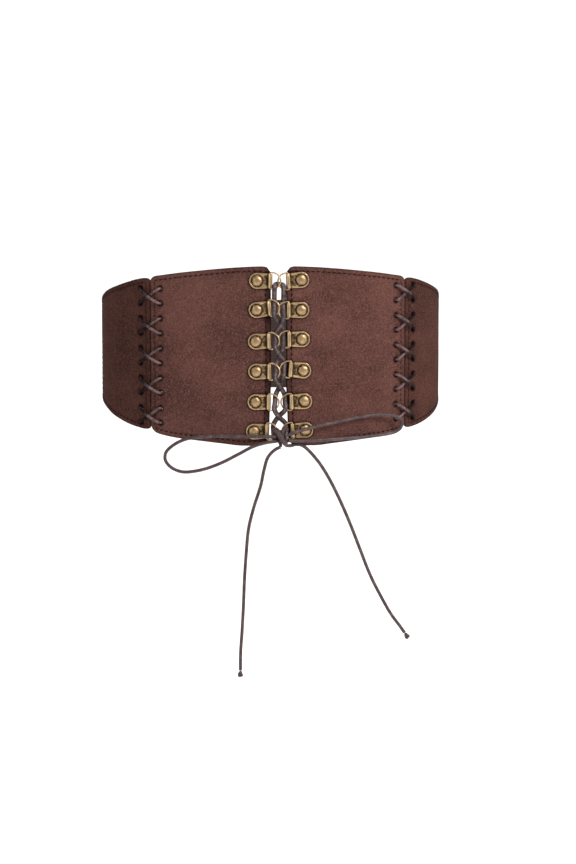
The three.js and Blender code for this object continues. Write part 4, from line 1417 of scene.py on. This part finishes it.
def knot_mesh():
    """Strands of the bow knot round each other, with a filled middle"""
    lace = length("lace")
    wrap, _ = cord_mesh(bow_points(KNOT_WRAP), lace * KNOT_WRAP_FACTOR, closed=True)
    strands = [
        cord_mesh(bow_points(table), lace)[0]
        for table in (KNOT_UPPER, KNOT_LOWER, KNOT_LEFT_END, KNOT_RIGHT_END, KNOT_LEFT_ARM,
                      KNOT_RIGHT_ARM)
    ]
    core = bmesh.new()
    core.loops.layers.uv.new("UVMap")
    centre = Matrix.Translation(Vector(bow_points(KNOT_CENTRE)) * MM)
    size = Matrix.Diagonal((*(width * MM for width in KNOT_CORE), 1))
    bmesh.ops.create_uvsphere(core, u_segments=20, v_segments=12, radius=0.5, calc_uvs=True,
                              matrix=centre @ size)
    return joined([wrap, *strands, mesh_of(core)], outward=False)


def tail_knot_mesh(points):
    """Small overhand knot in the end of a tail"""
    before, end = np.array(points[-2]), np.array(points[-1])
    ahead = (end - before) / np.linalg.norm(end - before)
    centre = end + ahead * (TAIL_KNOT_DROP + CLEARANCE)
    side = np.cross(ahead, (0, 1, 0))
    side /= np.linalg.norm(side)
    depth = np.cross(side, ahead)
    t = np.linspace(0, 2 * math.pi, 36, endpoint=False)[:, None]
    across = (np.sin(t) + 2 * np.sin(2 * t)) / 3 * TAIL_KNOT_WIDTH
    along = (np.cos(t) - 2 * np.cos(2 * t)) / 3 * TAIL_KNOT_LENGTH
    over = -np.sin(3 * t) * TAIL_KNOT_DEPTH
    route = centre + across * side + along * ahead + over * depth
    return cord_mesh(route, TAIL_KNOT_CORD, closed=True, step=0.4)[0]


# Operators


class BELT_OT_stage(bpy.types.Operator):
    """Camera, floor and soft light"""
    bl_idname = "belt.stage"
    bl_label = "Stage"

    def execute(self, context):
        scene = context.scene
        scene.view_settings.view_transform = "Standard"
        camera = bpy.data.cameras.new("camera")
        camera.sensor_fit = "VERTICAL"
        camera.sensor_height = SENSOR_HEIGHT
        camera.lens = CAMERA_LENS
        holder = linked("camera", camera)
        holder.location = CAMERA_PLACE
        holder.rotation_euler = [math.radians(angle) for angle in CAMERA_TURN]
        scene.camera = holder
        world = bpy.data.worlds.new("studio")
        world.use_nodes = True
        background = world.node_tree.nodes["Background"]
        background.inputs["Color"].default_value = (1, 1, 1, 1)
        background.inputs["Strength"].default_value = WORLD_STRENGTH
        scene.world = world
        for name, spot, aim, size, power in LIGHTS:
            light = bpy.data.lights.new(name, "AREA")
            light.size = size
            light.energy = power
            lamp = linked(name, light)
            lamp.location = spot
            lamp.rotation_euler = (Vector(aim) - Vector(spot)).to_track_quat("-Z", "Y").to_euler()
        sweep = bmesh.new()
        profile = [sweep.verts.new((-BACKDROP_WIDTH / 2, y, z)) for y, z in BACKDROP_PROFILE]
        edges = [sweep.edges.new(pair) for pair in zip(profile, profile[1:])]
        strip = bmesh.ops.extrude_edge_only(sweep, edges=edges)
        moved = [v for v in strip["geom"] if isinstance(v, bmesh.types.BMVert)]
        bmesh.ops.translate(sweep, verts=moved, vec=(BACKDROP_WIDTH, 0, 0))
        turn_outward(sweep)
        paper = Finish("backdrop paper", Base_Color=(0.93, 0.93, 0.93, 1), Roughness=0.9)
        mesh = smoothed(mesh_of(sweep), "backdrop", paper.material)
        linked("backdrop", mesh)
        return {"FINISHED"}


class BELT_OT_bow(bpy.types.Operator):
    """Loops and tails of the bow, with the knots on them"""
    bl_idname = "belt.bow"
    bl_label = "Bow"

    def execute(self, context):
        add_piece("bow_knot_cord", knot_mesh(), "cord", "cord", node="bow_knot")
        lace = length("lace")
        for side, table in (("left", BOW_LOOP_LEFT), ("right", BOW_LOOP_RIGHT)):
            name = f"bow_loop_{side}"
            mesh, route = cord_mesh(bow_points(table), lace)
            loop = add_piece(f"{name}_cord", mesh, "cord", "cord", node=name)
        for side, table in (("left", LACE_TAIL_LEFT), ("right", LACE_TAIL_RIGHT)):
            points = bow_points(table)
            name, end = f"lace_tail_{side}", f"tail_knot_{side}"
            knot = add_piece(f"{end}_cord", tail_knot_mesh(points), "cord", "cord", node=end)
            mesh, route = cord_mesh(points, lace)
            tail = add_piece(f"{name}_cord", mesh, "cord", "cord", node=name)
        return {"FINISHED"}


class BELT_OT_laces(bpy.types.Operator):
    """Lace through the front rings and through the side seams"""
    bl_idname = "belt.laces"
    bl_label = "Laces"

    def execute(self, context):
        mesh, _ = cord_mesh(front_lace_route(), length("lace_width"), length("lace_thickness"))
        add_piece("front_lace_cord", mesh, "cord", "front_lace", node="front_lace")
        for side in SIDES:
            name = f"side_lace_{side}"
            mesh, _ = cord_mesh(side_lace_route(side), length("side_cord"), closed=True)
            arc, _, _ = unroll(mesh_points(mesh))
            # Painted light where the side lace lies over the front panel, painted shade where it
            # lies over the side panel
            set_point_values(mesh, "wear_and_light", np.clip((SEAMS[side] - np.abs(arc)) / 6, -1, 1))
            add_piece(f"{name}_cord", mesh, "cord", "side_lace", node=name)
        return {"FINISHED"}


class BELT_OT_panels(bpy.types.Operator):
    """Front and side panels of suede with their lining"""
    bl_idname = "belt.panels"
    bl_label = "Panels"

    def execute(self, context):
        for kind in ("front", "side"):
            for side in SIDES:
                node = f"{kind}_panel_{side}"
                suede = f"{kind}_suede"
                plan = PanelPlan(side, kind)
                mesh = with_holes(panel_mesh(plan), hole_cutters(plan))
                finish_panel(mesh, plan)
                panel = add_piece(f"{node}_suede", mesh, suede, suede, "lining", node=node)
                tallest = 2 * BELT_HALF_HEIGHT * plan.table[:, 1].max()
                cut = (plan.width() * MM, tallest * MM)
                area = min(outline_area(plan), cut[0] * cut[1])
        return {"FINISHED"}


class BELT_OT_band(bpy.types.Operator):
    """Ribbed elastic band at the back"""
    bl_idname = "belt.band"
    bl_label = "Back band"

    def execute(self, context):
        start = SIDE_END_ARC - BAND_OVERLAP
        total = GIRTH - 2 * start
        mesh = band_mesh(start, total)
        band = add_piece("back_band_elastic", mesh, "elastic", "elastic", node="back_band")
        return {"FINISHED"}


class BELT_OT_stitches(bpy.types.Operator):
    """Topstitching of the panels"""
    bl_idname = "belt.stitches"
    bl_label = "Stitches"

    def execute(self, context):
        for side in SIDES:
            for kind in ("front", "side"):
                name = f"{kind}_stitches_{side}"
                plan = PanelPlan(side, kind)
                mesh = stitch_mesh(plan)
                arc, _, _ = unroll(mesh_points(mesh))
                faded = np.clip(3.5 - plan.seam_distance(plan.sign * arc) / 2, 0, 1)
                set_point_values(mesh, "faded", faded)
                add_piece(name, mesh, "front_suede", "thread")
        return {"FINISHED"}


class BELT_OT_brass(bpy.types.Operator):
    """Ring plates, rivets and D-rings"""
    bl_idname = "belt.brass"
    bl_label = "Brass"

    def execute(self, context):
        makers = {"ring_plate": plate_mesh, "rivet": rivet_mesh, "d_ring": ring_mesh}
        for side in SIDES:
            for row in range(len(PLATES[side])):
                for kind, make in makers.items():
                    node = f"{kind}_{side}_{row + 1}"
                    mesh = make(side, row)
                    turned = bmesh.new()
                    turned.from_mesh(mesh)
                    turn_outward(turned)
                    turned.to_mesh(mesh)
                    turned.free()
                    add_piece(f"{node}_brass", mesh, "brass", "brass", node=node)
        return {"FINISHED"}


class BELT_PT_tools(bpy.types.Panel):
    """Steps that build the belt, in order"""
    bl_label = "Corset Belt"
    bl_idname = "BELT_PT_tools"
    bl_space_type = "VIEW_3D"
    bl_region_type = "UI"
    bl_category = "Belt"

    def draw(self, context):
        layout = self.layout
        for operator in OPERATORS:
            layout.operator(operator.bl_idname)
        for group in (context.scene.belt_sizes, context.scene.belt_colours):
            for name in group.__annotations__:
                layout.prop(group, name)


OPERATORS = (
    BELT_OT_stage,
    BELT_OT_bow,
    BELT_OT_laces,
    BELT_OT_panels,
    BELT_OT_band,
    BELT_OT_stitches,
    BELT_OT_brass,
)
CLASSES = (BeltSizes, BeltColours, *OPERATORS, BELT_PT_tools)


def register():
    """Adds the sizes, the colours, the operators and the panel to Blender"""
    for item in CLASSES:
        bpy.utils.register_class(item)
    bpy.types.Scene.belt_sizes = PointerProperty(type=BeltSizes)
    bpy.types.Scene.belt_colours = PointerProperty(type=BeltColours)


def unregister():
    """Takes them out again"""
    del bpy.types.Scene.belt_colours
    del bpy.types.Scene.belt_sizes
    for item in reversed(CLASSES):
        bpy.utils.unregister_class(item)


def main():
    """Builds the whole belt"""
    register()
    bpy.ops.belt.stage()
    bpy.ops.belt.bow()
    bpy.ops.belt.laces()
    bpy.ops.belt.panels()
    bpy.ops.belt.band()
    bpy.ops.belt.stitches()
    bpy.ops.belt.brass()
    bpy.context.view_layer.update()


if __name__ == "__main__":
    main()
